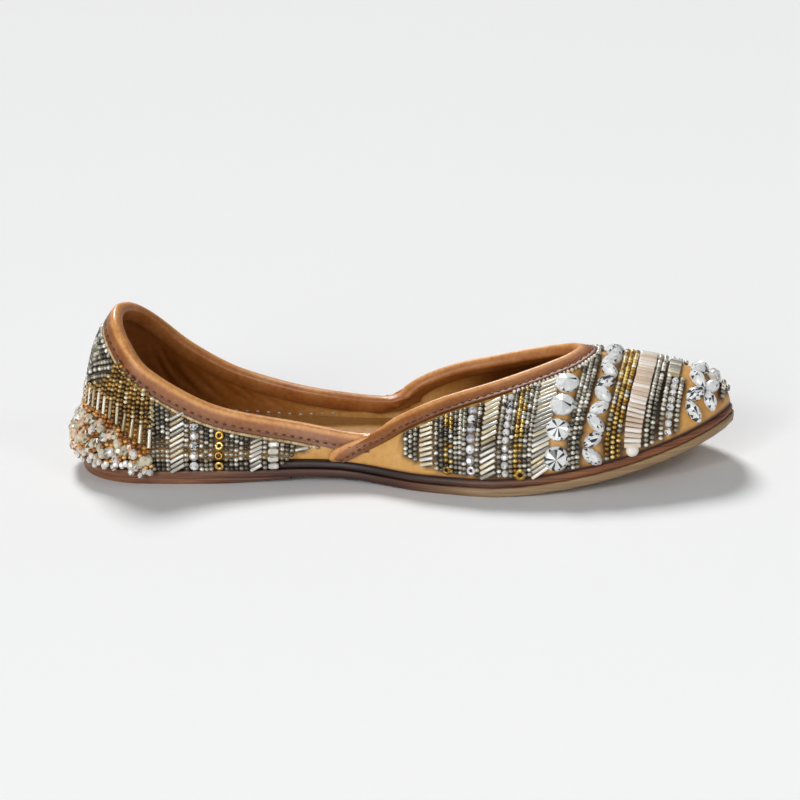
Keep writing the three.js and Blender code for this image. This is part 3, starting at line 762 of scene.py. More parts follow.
lining_turns = np.linspace(ROUND, 0, ROUND * LINING_COLUMNS_A_TURN + 1)
inner_skin = blank("lining", over_wall(lining_turns, np.linspace(0, 1, LINING_ROWS), lining_face))
weld(inner_skin)
modify(inner_skin, "SOLIDIFY", thickness=LINING_THICK * MM, offset=-1)
smooth_shade(inner_skin, 50)
inner_skin.data.materials.append(lining_leather)
finished(inner_skin, "upper_leather", "upper")

# %% [markdown]
# A binding is a strip of softer leather, folded over the raw edge and stitched through near its lower
# edge. It is one grid again: its rows run down the outside, over the fold and down the inside.

# %% Shaping a folded strip
FOLD_ROWS = 9
STITCH_AT, GROOVE_DEEP, GROOVE_WIDE = 4.5, 0.25, 0.7
EASE_PASSES = 40
MID = GAP + BINDING_THICK / 2
outer_rows = np.linspace(BINDING_OUT, 0, 13)[:-1]
inner_rows = np.linspace(0, BINDING_IN, 8)[1:]


def groove(distance):
    """How deep the row of stitches pulls the strip in."""
    return GROOVE_DEEP * np.exp(-(((distance - STITCH_AT) / GROOVE_WIDE) ** 2))


def edge_way(turn, v, passes=7):
    """The way down from an edge into the leather, square to the edge's own line, evened out."""
    line = wall_point(turn, v)
    step = np.gradient(line, axis=0)
    for _ in range(passes):
        step[1:-1] = (step[:-2] + 2 * step[1:-1] + step[2:]) / 4
    return unit(np.cross(step, wall_normal(turn, v)))


def evened(values, share, passes):
    """Values along a strip, evened out where the share is high."""
    for _ in range(passes):
        values[1:-1] += share[1:-1] * (values[:-2] - 2 * values[1:-1] + values[2:]) / 4
    return values


def strip_points(turn, v, high, low, narrow, tucked, eased, lap):
    """Points of a folded strip, one row after the other. high and low are its heights off the wall, and
    eased says where it bends round a corner, so that its lower edge runs smooth there."""
    down = edge_way(turn, v)
    normal = wall_normal(turn, v)
    base = wall_point(turn, v)
    rows = []
    for distance in outer_rows:
        reached = walk(turn, v, down, distance * narrow)
        t, w = (evened(part, eased, int(EASE_PASSES * distance)) for part in reached)
        rows.append(wall_point(t, w) + wall_normal(t, w) * (high - groove(distance))[:, None])
    for angle in np.linspace(0, math.pi, FOLD_ROWS):
        height = (high + low) / 2 + (high - low) / 2 * math.cos(angle)
        rows.append(base + normal * height[:, None] - down * (MID * math.sin(angle)))
    for distance in inner_rows:
        t, w = walk(turn, v, down, distance)
        under = base + normal * low[:, None] + down * (distance / BINDING_IN)
        rows.append(np.where(tucked[:, None], under, inside(t, w, MID + lap)))
    return np.stack(rows, 1)


print("rows of a strip:", len(outer_rows), "outside,", FOLD_ROWS, "over the fold,", len(inner_rows), "inside")

# %% [markdown]
# The strips are softer and redder than the upper, and burnished with a warm iron. They are painted pale along
# the fold as a highlight, and darker down both legs as painted shade; over the stitched edge the darker tone
# is partly the burnished edge's own. One strip goes over the topline of the quarter and ends under the wings.

# %% The strip round the quarter
STRIPS_LAP = 0.08
STRIP_ROUND, STRIP_ROUND_OVER = 0.25, 50
binding_leather = leather(
    "burnished_binding_leather",
    [(0, "#C47C3A"), (0.5, "#DA9854"), (1, "#ECB272")],
    grain=0.6, bump=0.25, roughness=0.42, coat=0.14, drift=9,
    # across: painted pale over the fold as a highlight; darker down both legs as painted shade, and over the
    # stitched edge partly the burnished edge's own tone
    across=[
        (0, "#8A7462"), (1.6, "#A08874"), (4.6, "#B8A28E"), (6, "#FFFFFF"),
        (8, "#FFFFFF"), (9.4, "#D8C8B8"), (15, "#A89482"),
    ],
)


def rounded(piece, width, segments, over):
    """Rounds the edges of a piece that are sharper than an angle in degrees."""
    modify(piece, "BEVEL", width=width, segments=segments, limit_method="ANGLE", angle_limit=math.radians(over))


def make_strip(name, points, replaced):
    """A strip of leather through the middle of its thickness."""
    strip = blank(name, points[::-1])
    modify(strip, "SOLIDIFY", thickness=BINDING_THICK * MM, offset=0)
    rounded(strip, STRIP_ROUND * MM, 2, STRIP_ROUND_OVER)
    smooth_shade(strip, 50)
    strip.data.materials.append(binding_leather)
    return finished(strip, "binding_leather", replaced)


quarter_turns = np.linspace(-WING_EDGE - STRIPS_LAP, WING_EDGE + STRIPS_LAP, 245)
quarter_tops = np.ones_like(quarter_turns)
none = np.zeros_like(quarter_turns)
quarter_points = strip_points(
    quarter_turns, quarter_tops, high=none + MID, low=none - WALL - MID,
    narrow=1, tucked=none > 0, eased=none, lap=0,
)
make_strip("quarter_strip", quarter_points, "quarter_binding")

# %% [markdown]
# The vamp's strip is one length of leather: up the edge of one wing, round the throat and down the other
# wing. On a wing it folds round the cut edge only, so its low side stays on the outside of the quarter
# and rides over the quarter's own strip.

# %% The strip round the throat and down both wings
WING_STRIP_SHARE, WIDENS_OVER = 0.74, 1.5
FOOT_SKIVE, FOOT_RISE = 1.2, 0.14
LAP_GAP, RISES_FROM, RISES_OVER = 0.5, 0.35, 0.2
OVER_QUARTER = GAP + BINDING_THICK + 0.15
LAP_LIFT, LAP_FADE = 0.5, 0.45
EASE_REACH = 20
CORNER_GAP = 0.01
wing_shares = np.linspace(-0.06, 0.97, 43)
wing_turns = wing_edge(wing_shares) + 0.002
throat_turns = np.linspace(WING_EDGE + CORNER_GAP, ROUND - WING_EDGE - CORNER_GAP, 285)
vamp_turns = np.concatenate([wing_turns, throat_turns, ROUND - wing_turns[::-1]])
vamp_shares = np.concatenate([wing_shares, np.ones_like(throat_turns), wing_shares[::-1]])
on_wing = vamp_shares < 1
vamp_sections = section_of(vamp_turns)
vamp_narrow = WING_STRIP_SHARE + (1 - WING_STRIP_SHARE) * smooth((vamp_sections - WING_EDGE) / WIDENS_OVER)
vamp_narrow[on_wing] = WING_STRIP_SHARE
wing_rise = np.where(on_wing, vamp_shares, 1)
skived = FOOT_SKIVE * (1 - smooth(wing_rise / FOOT_RISE))
vamp_high = VAMP_STEP + MID - skived
over_strip = smooth((vamp_shares - RISES_FROM) / RISES_OVER)
wing_low = LAP_GAP + (OVER_QUARTER - LAP_GAP) * over_strip - skived
thinned = VAMP_STEP * smooth((vamp_sections - WING_EDGE) / (QUARTER_END - WING_EDGE))
lap = LAP_LIFT * np.exp(-(((vamp_sections - WING_EDGE) / LAP_FADE) ** 2))
vamp_low = np.where(on_wing, wing_low, thinned - WALL - MID - lap)
from_corner = np.arange(len(vamp_turns)) - len(wing_shares)
corners = np.exp(-((from_corner / EASE_REACH) ** 2))
corners = corners + corners[::-1]
vamp_points = strip_points(vamp_turns, vamp_shares, vamp_high, vamp_low, vamp_narrow, on_wing, corners, lap)
make_strip("vamp_strip", vamp_points, "vamp_binding")

# %% [markdown]
# The bottom is vegetable-tanned sole leather, cut with a knife and rubbed with wax. A cut edge shows the
# layers of the hide as fine level streaks with a low shine. They are red-brown at the heel and paler and
# dusty under the ball of the foot, and they are painted darker at the waist as shade under the arch. A
# noise that is squeezed in height draws the streaks.

# %% The cut edge of leather
STREAKS = (60, 60, 2200)
STREAKS_FROM, STREAKS_TO = 0.3, 0.7
STREAK_BUMP, STREAK_DEPTH = 0.25, 0.2
# painted shade under the arch: between these places along X the edge is painted darker
ARCH_SHADE_FROM, ARCH_SHADE_TO = -70, 40
ARCH_SHADE_TONES = [(0, "#FFFFFF"), (0.3, "#A0826E"), (0.45, "#866856"), (0.65, "#866856"), (0.95, "#FFFFFF")]
BROWN = [(0, "#54301A"), (0.5, "#794A2A"), (1, "#986440")]
SANDY = [(0, "#846848"), (0.5, "#967A56"), (1, "#A88C66")]
DARK = [(0, "#2A1208"), (0.5, "#40200F"), (1, "#5C341C")]
RUSSET = [(0, "#522810"), (0.5, "#784424"), (1, "#945C36")]


def edge_leather(name, heel_stops, toe_stops, blend_from, blend_to):
    """A streaked cut edge, whose colours go from the heel's to the toe's between two places along X."""
    made, tree, shader = material(name, Roughness=0.5, Coat_Weight=0.15, Coat_Roughness=0.4)
    spot = add(tree, "ShaderNodeTexCoord").outputs["Object"]
    flat = add(tree, "ShaderNodeMapping", {"Vector": spot, "Scale": STREAKS}).outputs["Vector"]
    streaks = add(tree, "ShaderNodeTexNoise", {"Vector": flat, "Scale": 1.0, "Detail": 3.0}).outputs["Fac"]
    reach = {"Value": streaks, "From Min": STREAKS_FROM, "From Max": STREAKS_TO}
    share = add(tree, "ShaderNodeMapRange", reach).outputs[0]
    along = add(tree, "ShaderNodeSeparateXYZ", {"Vector": spot}).outputs["X"]
    ends = {"Value": along, "From Min": blend_from * MM, "From Max": blend_to * MM}
    blend = add(tree, "ShaderNodeMapRange", ends, interpolation_type="SMOOTHSTEP").outputs[0]
    heel, toe = (add(tree, "ShaderNodeValToRGB", {"Fac": share}, stops) for stops in (heel_stops, toe_stops))
    inputs = {"Factor": blend, "A": heel.outputs["Color"], "B": toe.outputs["Color"]}
    colour = add(tree, "ShaderNodeMix", inputs, data_type="RGBA").outputs["Result"]
    # Painted shade: the edge is darkened at the waist, where the arch shades it.
    span = {"Value": along, "From Min": ARCH_SHADE_FROM * MM, "From Max": ARCH_SHADE_TO * MM}
    arch_shade_share = add(tree, "ShaderNodeMapRange", span).outputs[0]
    tone = add(tree, "ShaderNodeValToRGB", {"Fac": arch_shade_share}, ARCH_SHADE_TONES).outputs["Color"]
    toned = add(tree, "ShaderNodeMix", {"Factor": 1.0, "A": colour, "B": tone}, **MULTIPLY)
    tree.links.new(toned.outputs["Result"], shader.inputs["Base Color"])
    height = {"Height": streaks, "Strength": STREAK_BUMP, "Distance": STREAK_DEPTH * MM}
    relief = add(tree, "ShaderNodeBump", height)
    tree.links.new(relief.outputs["Normal"], shader.inputs["Normal"])
    return made


sole_edge = edge_leather("cut_sole_leather", BROWN, SANDY, 5, 50)
runner_edge = edge_leather("dyed_runner_leather", DARK, RUSSET, 20, 70)
print("leathers of the sole:", sole_edge.name, "and", runner_edge.name)

# %% [markdown]
# The lift, the outsole, the dark runner and the sock inside have the solids' own shapes, so each is a copy of
# its solid. Glue closes the gap to the layer above, and sandpaper takes the sharp edge off. The sock is
# polished smooth by the foot, so it is the shiniest leather of the shoe.

# %% The layers of the sole
GLUE_LINE = 0.28
LOOSE_REACH = 0.01
EDGE_ROUND, EDGE_ROUND_OVER = 0.3, 40
FACES_UP = 0.5


def dress(node, name, slot, finish):
    """A copy of a solid, closed up to its neighbour above, with small rounds and a finish of its own."""
    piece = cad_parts[node].copy()
    piece.data = piece.data.copy()
    piece.name = piece.data.name = name
    bpy.context.collection.objects.link(piece)
    weld(piece, LOOSE_REACH)
    for vertex in piece.data.vertices:
        vertex.co.z += GLUE_LINE * MM * (vertex.normal.z > FACES_UP)
    rounded(piece, EDGE_ROUND * MM, 2, EDGE_ROUND_OVER)
    smooth_shade(piece, EDGE_ROUND_OVER)
    piece.data.materials.clear()
    piece.data.materials.append(finish)
    finished(piece, slot, node)


sock_leather = leather(
    "polished_sock_leather",
    [(0, "#A8742F"), (0.5, "#BD8A44"), (1, "#CC9B56")],
    grain=0.8, bump=0.12, roughness=0.35, coat=0.25, drift=40,
)
dress("heel_lift", "heel_lift_leather", "sole_leather", sole_edge)
dress("outsole", "sole_leather", "sole_leather", sole_edge)
dress("midsole", "runner_leather", "runner_leather", runner_edge)
dress("insole", "sock_leather", "lining_leather", sock_leather)

# %% [markdown]
# The beadwork is sewn by hand in rows: seed beads threaded like corn on a cob, bugles laid side by side,
# foiled crystals in claws of thread, and rings. Every kind is modelled once here and laid many times, so
# its model has only a few faces. The turned and drawn kinds start as a ball, a rod, a ring or a block.

# %% Turned and drawn beads
def model_of(piece, faceted):
    """Reads a small model as its points and triangles, and takes it away again."""
    modify(piece, "TRIANGULATE")
    points = np.empty(len(piece.data.vertices) * 3)
    piece.data.vertices.foreach_get("co", points)
    faces = np.empty(len(piece.data.polygons) * 3, int)
    piece.data.polygons.foreach_get("vertices", faces)
    bpy.data.meshes.remove(piece.data)
    return points.reshape(-1, 3), faces.reshape(-1, 3), faceted


def laid_down():
    """The newest piece, turned so that its axis runs along X."""
    bpy.ops.transform.rotate(value=math.pi / 2, orient_axis="Y", center_override=(0, 0, 0))
    bpy.ops.object.transform_apply(rotation=True)
    return bpy.context.object


def ball(segments, rings):
    bpy.ops.mesh.primitive_uv_sphere_add(segments=segments, ring_count=rings, radius=0.5)
    return laid_down()


def rod(sides, rim):
    bpy.ops.mesh.primitive_cylinder_add(vertices=sides, radius=0.5, depth=1)
    piece = laid_down()
    rounded(piece, rim, 1, 60)
    return piece


def ring(hole, wire):
    """A closed ring of wire, one unit wide, with the radius of its middle line and of the wire."""
    bpy.ops.mesh.primitive_torus_add(
        major_radius=hole, minor_radius=wire, major_segments=14, minor_segments=6
    )
    return bpy.context.object


def block(bevel):
    bpy.ops.mesh.primitive_cube_add(size=1)
    modify(bpy.context.object, "BEVEL", width=bevel, segments=1)
    return bpy.context.object


bpy.ops.object.select_all(action="DESELECT")
MODELS = {
    "seed": model_of(ball(9, 6), False),
    "pearl": model_of(ball(12, 8), False),
    "bugle": model_of(rod(8, 0.06), False),
    "drop": model_of(ball(7, 4), True),
    "ring": model_of(ring(0.32, 0.18), False),
    "baguette": model_of(block(0.22), True),
    "dash": model_of(ball(6, 4), False),
}
print({name: len(model[1]) for name, model in MODELS.items()})

# %% [markdown]
# A foiled stone is cut glass with a mirror behind it. Its outline is extruded up from the girdle in steps,
# and each step is drawn in and turned by half a facet, as a cutter turns the stone on the wheel. A round
# stone comes to a point, a table cut stays flat on top, and a navette is a round one drawn out to two tips.

# %% Cut stones
STONE_WELD = 5
TIP_SHARPNESS = 0.35
RIVOLI_CUT = [(0.3, 1, 0), (0.32, 0.8, 1), (0.38, 0.001, 0)]  # rise, shrink and half turns of each step
TABLE_CUT = [(0.3, 1, 0), (0.4, 0.74, 1), (0.25, 0.62, 1)]


def cut_stone(sides, steps):
    """A foiled stone: rings of facets above a girdle, each turned half a step, up to its middle."""
    bpy.ops.mesh.primitive_circle_add(vertices=sides, radius=0.5, fill_type="NGON")
    bpy.ops.object.mode_set(mode="EDIT")
    bpy.ops.mesh.select_all(action="SELECT")
    for rise, shrink, turned in steps:
        bpy.ops.mesh.extrude_region_move(TRANSFORM_OT_translate={"value": (0, 0, rise)})
        bpy.ops.transform.resize(value=(shrink, shrink, 1), center_override=(0, 0, 0))
        bpy.ops.transform.rotate(value=turned * math.pi / sides, orient_axis="Z", center_override=(0, 0, 0))
    bpy.ops.object.mode_set(mode="OBJECT")
    weld(bpy.context.object, STONE_WELD)
    return bpy.context.object


def marquise(stone):
    """Draws a round stone's outline in to two points."""
    for vertex in stone.data.vertices:
        reach = math.hypot(vertex.co.x, vertex.co.y)
        vertex.co.y *= abs(vertex.co.y / reach) ** TIP_SHARPNESS if reach > 0.01 else 1
    return stone


MODELS["rivoli"] = model_of(cut_stone(20, RIVOLI_CUT), True)
MODELS["brilliant"] = model_of(cut_stone(10, TABLE_CUT), True)
MODELS["navette"] = model_of(marquise(cut_stone(14, TABLE_CUT)), True)
print("facets of the stones:", [len(MODELS[name][1]) for name in ("rivoli", "brilliant", "navette")])

# %% [markdown]
# Glass beads get their look from inside: a silver lining makes them bright and grey, a dark lining makes
# gunmetal, and amber glass glows. Each bead carries a number, its tone_and_reflection, as a face attribute,
# and the colour runs through a dark, a middle and a light tone by that number. On a plain bead it is a tone
# that differs at random. On faceted beads each facet has a number of its own, a painted reflection: it is
# painted dark or light, as a foiled stone mirrors dark and light places side by side.

# %% Finishes of the beads
FINISHES = {  # finish: its dark, middle and light tone, how metallic and how rough it is
    "silver_lined_glass": ("#857F70", "#C8C2B0", "#FBF8EE", 0.4, 0.16),
    "gunmetal_glass": ("#35322A", "#716B5B", "#B5AE9A", 0.4, 0.2),
    "gold_lined_glass": ("#7A5516", "#C49636", "#F6DB88", 0.55, 0.18),
    "bronze_glass": ("#54380F", "#8F6420", "#C99A45", 0.5, 0.2),
    "bright_bronze_glass": ("#6E5224", "#C2A25C", "#FBEFC8", 0.5, 0.15),
    "champagne_glass": ("#A8946E", "#DECFAE", "#FDF6E4", 0.15, 0.12),
    "silver_bugle_glass": ("#8C897E", "#CFCCC0", "#FCFBF5", 0.2, 0.12),
    "cream_glass": ("#D8BFA6", "#EFE0D0", "#FFF8F0", 0.0, 0.25),
    "foiled_crystal": ("#2A2F34", "#E6E8E6", "#FFFFFF", 0.0, 0.04),
    "clear_crystal": ("#7A7264", "#D8D4CA", "#FFFFFF", 0.1, 0.05),
    "smoky_crystal": ("#6E6048", "#C4B99C", "#F8F2E2", 0.1, 0.06),
    "peach_crystal": ("#8E5E38", "#D6B08A", "#F6E4D0", 0.1, 0.08),
    "amber_glass": ("#7A4310", "#C27A2C", "#F2B866", 0.2, 0.12),
    "gold_ring_metal": ("#8A6420", "#D8AC48", "#FFE694", 0.85, 0.22),
    "iridescent_ring": ("#8A8E98", "#D8D6DC", "#FFFFFF", 0.5, 0.12),
    "pearl": ("#DCC4AE", "#F2E2D2", "#FFFCF6", 0.0, 0.2),
    "cream_cord": ("#A8875C", "#C9A878", "#E2C89C", 0.0, 0.6),
    "waxed_thread": ("#2E180A", "#43240F", "#5C3619", 0.0, 0.7),
    "white_thread": ("#B8A890", "#D8CCB8", "#F0E8DC", 0.0, 0.8),
}


def bead_finish(name):
    """A finish with a clear polished coat, and a tone by the tone_and_reflection number: each bead's own, and
    on faceted beads each facet's painted reflection.
    """
    dark, middle, light, metallic, roughness = FINISHES[name]
    made, tree, shader = material(
        name, Metallic=metallic, Roughness=roughness, Coat_Weight=0.5, Coat_Roughness=0.06
    )
    tone_and_reflection = add(tree, "ShaderNodeAttribute", attribute_name="tone_and_reflection").outputs["Fac"]
    tones = add(tree, "ShaderNodeValToRGB", {"Fac": tone_and_reflection}, [(0, dark), (0.5, middle), (1, light)])
    tree.links.new(tones.outputs["Color"], shader.inputs["Base Color"])
    return made


glass = {name: bead_finish(name) for name in FINISHES}
print("finishes of the beads:", len(glass))

# %% [markdown]
# A field of beads is a list of groups, and a group is one kind of bead in one finish with its places,
# the way its length runs, the way it faces, and its size. strew turns a field into a single mesh.

# %% Laying beads
# share of facets painted dark and their tone, as painted reflections of dark places
DARK_REFLECTIONS, DARK_REFLECTION_TONE = 0.13, 0.02


def lay(field, kind, finish, place, along, facing, size):
    """Adds a group of beads to a field, unless it is empty."""
    if len(place):
        size = np.broadcast_to(np.asarray(size, float), place.shape)
        field.append((kind, finish, place, unit(along), facing, size))


def strew(name, field, slot, *replaced):
    """Makes one mesh of all the beads of a field."""
    finishes = sorted({group[1] for group in field})
    points, faces, tones_and_reflections, slots, smooths = [], [], [], [], []
    first = 0
    for kind, finish, place, along, facing, size in field:
        model, triangles, faceted = MODELS[kind]
        across = unit(np.cross(facing, along))
        axes = np.stack([along, across, np.cross(along, across)], 1)
        placed = place[:, None] + (model[None] * size[:, None]) @ axes
        count = len(place)
        points.append(placed.reshape(-1, 3))
        starts = first + np.arange(count) * len(model)
        faces.append((triangles[None] + starts[:, None, None]).reshape(-1, 3))
        first += count * len(model)
        tone_and_reflection = np.repeat(chance.random(count)[:, None], len(triangles), 1)
        # Painted reflection: each facet of a faceted bead is painted dark or light, standing in for the dark
        # and light places that it mirrors.
        if faceted:
            dark = chance.random(tone_and_reflection.shape) < DARK_REFLECTIONS * (0.4 + 4 * chance.random((count, 1)) ** 4)
            facet_reflection = np.where(dark, DARK_REFLECTION_TONE, 0.5 + 0.5 * chance.random(tone_and_reflection.shape))
            tone_and_reflection = facet_reflection * (0.7 + 0.3 * tone_and_reflection)
        tones_and_reflections.append(tone_and_reflection.ravel())
        slots.append(np.full(tone_and_reflection.size, finishes.index(finish)))
        smooths.append(np.full(tone_and_reflection.size, not faceted))
    points, faces = to_scene(np.concatenate(points)), np.concatenate(faces)
    mesh = bpy.data.meshes.new(name)
    mesh.from_pydata(points.tolist(), [], faces.tolist())
    mesh.attributes.new("tone_and_reflection", "FLOAT", "FACE").data.foreach_set("value", np.concatenate(tones_and_reflections))
    mesh.polygons.foreach_set("material_index", np.concatenate(slots))
    mesh.polygons.foreach_set("use_smooth", np.concatenate(smooths))
    for finish in finishes:
        mesh.materials.append(glass[finish])
    piece = bpy.data.objects.new(name, mesh)
    bpy.context.collection.objects.link(piece)
    return finished(piece, slot, *replaced)


def distances(line):
    """How far each point of a line lies from its start."""
    return np.concatenate([[0], np.cumsum(np.linalg.norm(np.diff(line, axis=0), axis=-1))])


def spread(turn, v, pitch, off=0, ahead=0.3):
    """Where beads sit along a line on the upper, an even pitch apart: turns, shares and directions."""
    line = outside(turn, v, off)
    far = distances(line)
    count = int(far[-1] / pitch + 0.3)
    at = (np.arange(count) + 0.5) * far[-1] / max(count, 1)
    way = [np.interp(at + ahead, far, line[:, i]) - np.interp(at - ahead, far, line[:, i]) for i in range(3)]
    return np.interp(at, far, turn), np.interp(at, far, v), unit(np.stack(way, -1) + 1e-9)


print("the topline is", distances(wall_point(np.linspace(0, ROUND, 961), 1))[-1].round(), "mm round")

# %% [markdown]
# On the vamp the rows are bands straight across the shoe, a little bowed. Each is found by looking on
# the form for the places with the same distance from the heel. Behind the throat a band ends at the
# binding on each side, and in front of it the band goes over the toe from side to side.

# %% Where a row runs on the upper
BAND_BOW = curve((140, 150, 160, 190, 205, 250), (-0.0015, -0.0015, 0, 0.002, 0.004, 0.004))
VAMP_BEADS_FROM = curve((6.9, 7.4, 8, 9, 10, 11, 12), (13.2, 7.4, 2.6, 1.2, 1.4, 3.4, 5))
QUARTER_BEADS_FROM = curve((0, 4.95, 5.78), (-2.4, -2, 5))
BEADS_BELOW_TOP = BINDING_OUT + 1.2
topline = outside(np.linspace(0, ROUND, 961), np.ones(961), 0)


def field_grid(from_section, to_section, from_share, bow, beads_from):
    """The places of one field on both sides, which its rows are looked up in."""
    sections, shares = np.meshgrid(
        np.linspace(from_section, to_section, 160), np.linspace(from_share, 1, 240), indexing="ij"
    )
    reach = {}
    for side in (OUTER, INNER):
        places = outside(sections if side == OUTER else -sections, shares, 0)
        reach[side] = (places[..., 0], (places[..., 1] - centre_line(places[..., 0])) ** 2)
    return sections, shares, reach, bow, beads_from


def half_row(grid, x, side):
    """The line of one side's row, from its foot up: turns and shares."""
    sections, shares, reach, bow, beads_from = grid
    along = reach[side][0] + bow(x) * reach[side][1]
    found = [j for j in range(along.shape[1]) if along[0, j] < x < along[-1, j]]
    section = np.array([np.interp(x, along[:, j], sections[:, j]) for j in found])
    turn, v = section * -side, shares[0, found]
    place = outside(turn, v, 0)
    rise = place[:, 2] - midsole_top(form["foot"](section)) - GAP
    clear = np.linalg.norm(place[:, None] - topline[None], axis=-1).min(1) if len(place) else rise
    keep = (rise > beads_from(section)) & (clear > BEADS_BELOW_TOP)
    return turn[keep], v[keep]


def rows_at(grid, x):
    """The lines of a row as (turns, shares, side), always with the toe on the left of its way."""
    outer, inner = half_row(grid, x, OUTER), half_row(grid, x, INNER)
    inner = (inner[0][::-1], inner[1][::-1])
    if x > form["top_x"](LAST) + BEADS_BELOW_TOP:
        turn = np.concatenate([outer[0], np.mod(inner[0], ROUND)])
        return [(turn, np.concatenate([outer[1], inner[1]]), OUTER)]
    return [(*line, side) for line, side in ((outer, OUTER), (inner, INNER)) if len(line[0]) > 4]


vamp_grid = field_grid(6.4, LAST, 0.01, BAND_BOW, VAMP_BEADS_FROM)
quarter_grid = field_grid(2.9, WING_EDGE - 0.1, -0.14, lambda x: 0, QUARTER_BEADS_FROM)
print("rows over the toe go from side to side beyond", form["top_x"](LAST) + BEADS_BELOW_TOP, "mm")

# %% [markdown]
# A bead embroiderer works from a tray of sorts. Seeds are threaded along a row, and bugles lie across it like
# rungs. Each sort has its size in millimetres, and a pitch that leaves room for the needle.

# %% The sorts of beads
BEAD_KINDS = {  # kind: model, length, width, thickness, pitch, whether it lies across the row
    "seed": ("seed", 1.55, 1.9, 1.7, 1.7, False),
    "short_bugle": ("bugle", 5, 1.35, 1.3, 1.75, True),
    "bugle": ("bugle", 6, 1.4, 1.4, 1.95, True),
    "long_bugle": ("bugle", 7.2, 1.4, 1.4, 1.8, True),
    "baguette": ("baguette", 3.8, 2.2, 1.8, 2.5, True),
    "ring": ("ring", 3.7, 3.7, 2.4, 3.7, False),
    "wide_ring": ("ring", 4.6, 4.6, 2.4, 4.8, False),
    "stone": ("brilliant", 3.6, 3.6, 2.2, 3.9, False),
    "small_stone": ("brilliant", 2.8, 2.8, 1.8, 3, False),
    "big_stone": ("rivoli", 8.7, 8.7, 3.4, 9.2, False),
    "navette": ("navette", 8.4, 5.1, 2.8, 5.9, True),
    "big_navette": ("navette", 9, 5.2, 3, 6.4, True),
    "tube": ("bugle", 6.2, 1.75, 1.7, 1.75, True),
    "flat_bugle": ("bugle", 4.5, 1.9, 1.2, 1.95, True),
    "pearl": ("pearl", 4.6, 5, 3.6, 5, False),
}
SILVER, GUNMETAL, GOLD = "silver_lined_glass", "gunmetal_glass", "gold_lined_glass"
CHAMPAGNE, SILVER_BUGLE, CREAM = "champagne_glass", "silver_bugle_glass", "cream_glass"
FOILED, CLEAR, RINGS, GOLD_RING = "foiled_crystal", "clear_crystal", "iridescent_ring", "gold_ring_metal"
print("sorts of beads:", len(BEAD_KINDS))

# %% [markdown]
# The chart names each row from the wing to the toe: how far it lies from the heel, its sort of bead, its
# finishes, which are mixed by chance, and the slant of its beads in degrees. Some rows end in a ring or a
# pearl, and some cover only the middle or the sides.

# %% The chart of the vamp
VAMP_ROWS = [
    (132.2, "seed", (SILVER, GUNMETAL), 0),
    (134, "seed", (SILVER,), 0),
    (135.8, "seed", (SILVER, SILVER, GUNMETAL), 0),
    (139.8, "short_bugle", (SILVER_BUGLE, CHAMPAGNE), 10),
    (143.6, "seed", (GUNMETAL, SILVER), 0),
    (145.4, "seed", (GUNMETAL,), 0),
    (147.2, "seed", (GOLD, GUNMETAL), 0, {"foot": ("ring", GOLD_RING)}),
    (149, "seed", (GOLD, SILVER), 0),
    (150.8, "seed", (SILVER, GUNMETAL), 0),
    (152.6, "seed", (SILVER,), 0),
    (154.4, "seed", (GUNMETAL, SILVER), 0),
    (157.6, "stone", (CLEAR, RINGS, FOILED), 0, {"foot": ("ring", RINGS)}),
    (160.7, "seed", (GUNMETAL, SILVER), 0),
    (165.2, "bugle", (CHAMPAGNE, SILVER_BUGLE), 28),
    (169.6, "seed", (SILVER, GUNMETAL), 0),
    (171.9, "small_stone", (CLEAR, FOILED), 0),
    (174.2, "seed", (GUNMETAL, SILVER), 0),
    (176, "seed", (GOLD,), 0),
    (177.8, "seed", (GOLD, SILVER), 0, {"foot": ("wide_ring", GOLD_RING)}),
    (179.6, "seed", (SILVER, GUNMETAL), 0),
    (181.4, "seed", (SILVER,), 0),
    (185.6, "long_bugle", (CHAMPAGNE, SILVER_BUGLE), 32),
    (192, "big_stone", (FOILED,), 0),
    (197.6, "seed", (GUNMETAL, SILVER), 0),
    (199.4, "seed", (SILVER,), 0),
    (201.2, "seed", (GUNMETAL, SILVER), 0),
    (206.4, "navette", (FOILED,), 42),
    (211, "seed", (GOLD, SILVER), 0),
    (212.8, "seed", (GOLD,), 0),
    (214.6, "seed", (GOLD, GOLD, SILVER), 0),
    (219, "tube", (CREAM,), 0, {"foot": ("pearl", "pearl")}),
    (223.2, "seed", (SILVER,), 0),
    (225, "seed", (SILVER, GUNMETAL), 0),
    (227.6, "seed", (SILVER,), 0, {"part": "sides"}),
    (230, "small_stone", (CLEAR, FOILED), 0, {"part": "sides"}),
    (228.8, "flat_bugle", (CHAMPAGNE, SILVER_BUGLE), 0, {"part": "middle"}),
    (232.2, "seed", (SILVER,), 0, {"part": "sides"}),
    (237.4, "big_navette", (FOILED,), 48),
    (242.2, "navette", (FOILED, CLEAR), 62),
    (245.6, "seed", (SILVER,), 0),
    (247, "seed", (SILVER,), 0),
]
print("rows of the vamp:", len(VAMP_ROWS))

# %% [markdown]
# A row is laid bead by bead: each sits on the leather, faces away from it and runs along or across the row.
# No hand sews two beads quite alike, so a seeded chance picks each one's finish, and turns and sizes it a
# little.

# %% Laying a row
ZIGZAG = ("navette", "big_navette")
BEAD_LIFT = 0.2
BULGE_OUT, BULGE_TO = 3.1, 0.5
SLANT_CHANCE, SIZE_CHANCE = 0.06, 0.1
MIDDLE_HALF = 9


def bulge(turn, v):
    """The quarter's beadwork is stiff, and at its foot it stands out over the sole's edge."""
    section = section_of(turn)
    return np.where(section < WING_EDGE, BULGE_OUT * (1 - smooth(v / BULGE_TO)), 0)


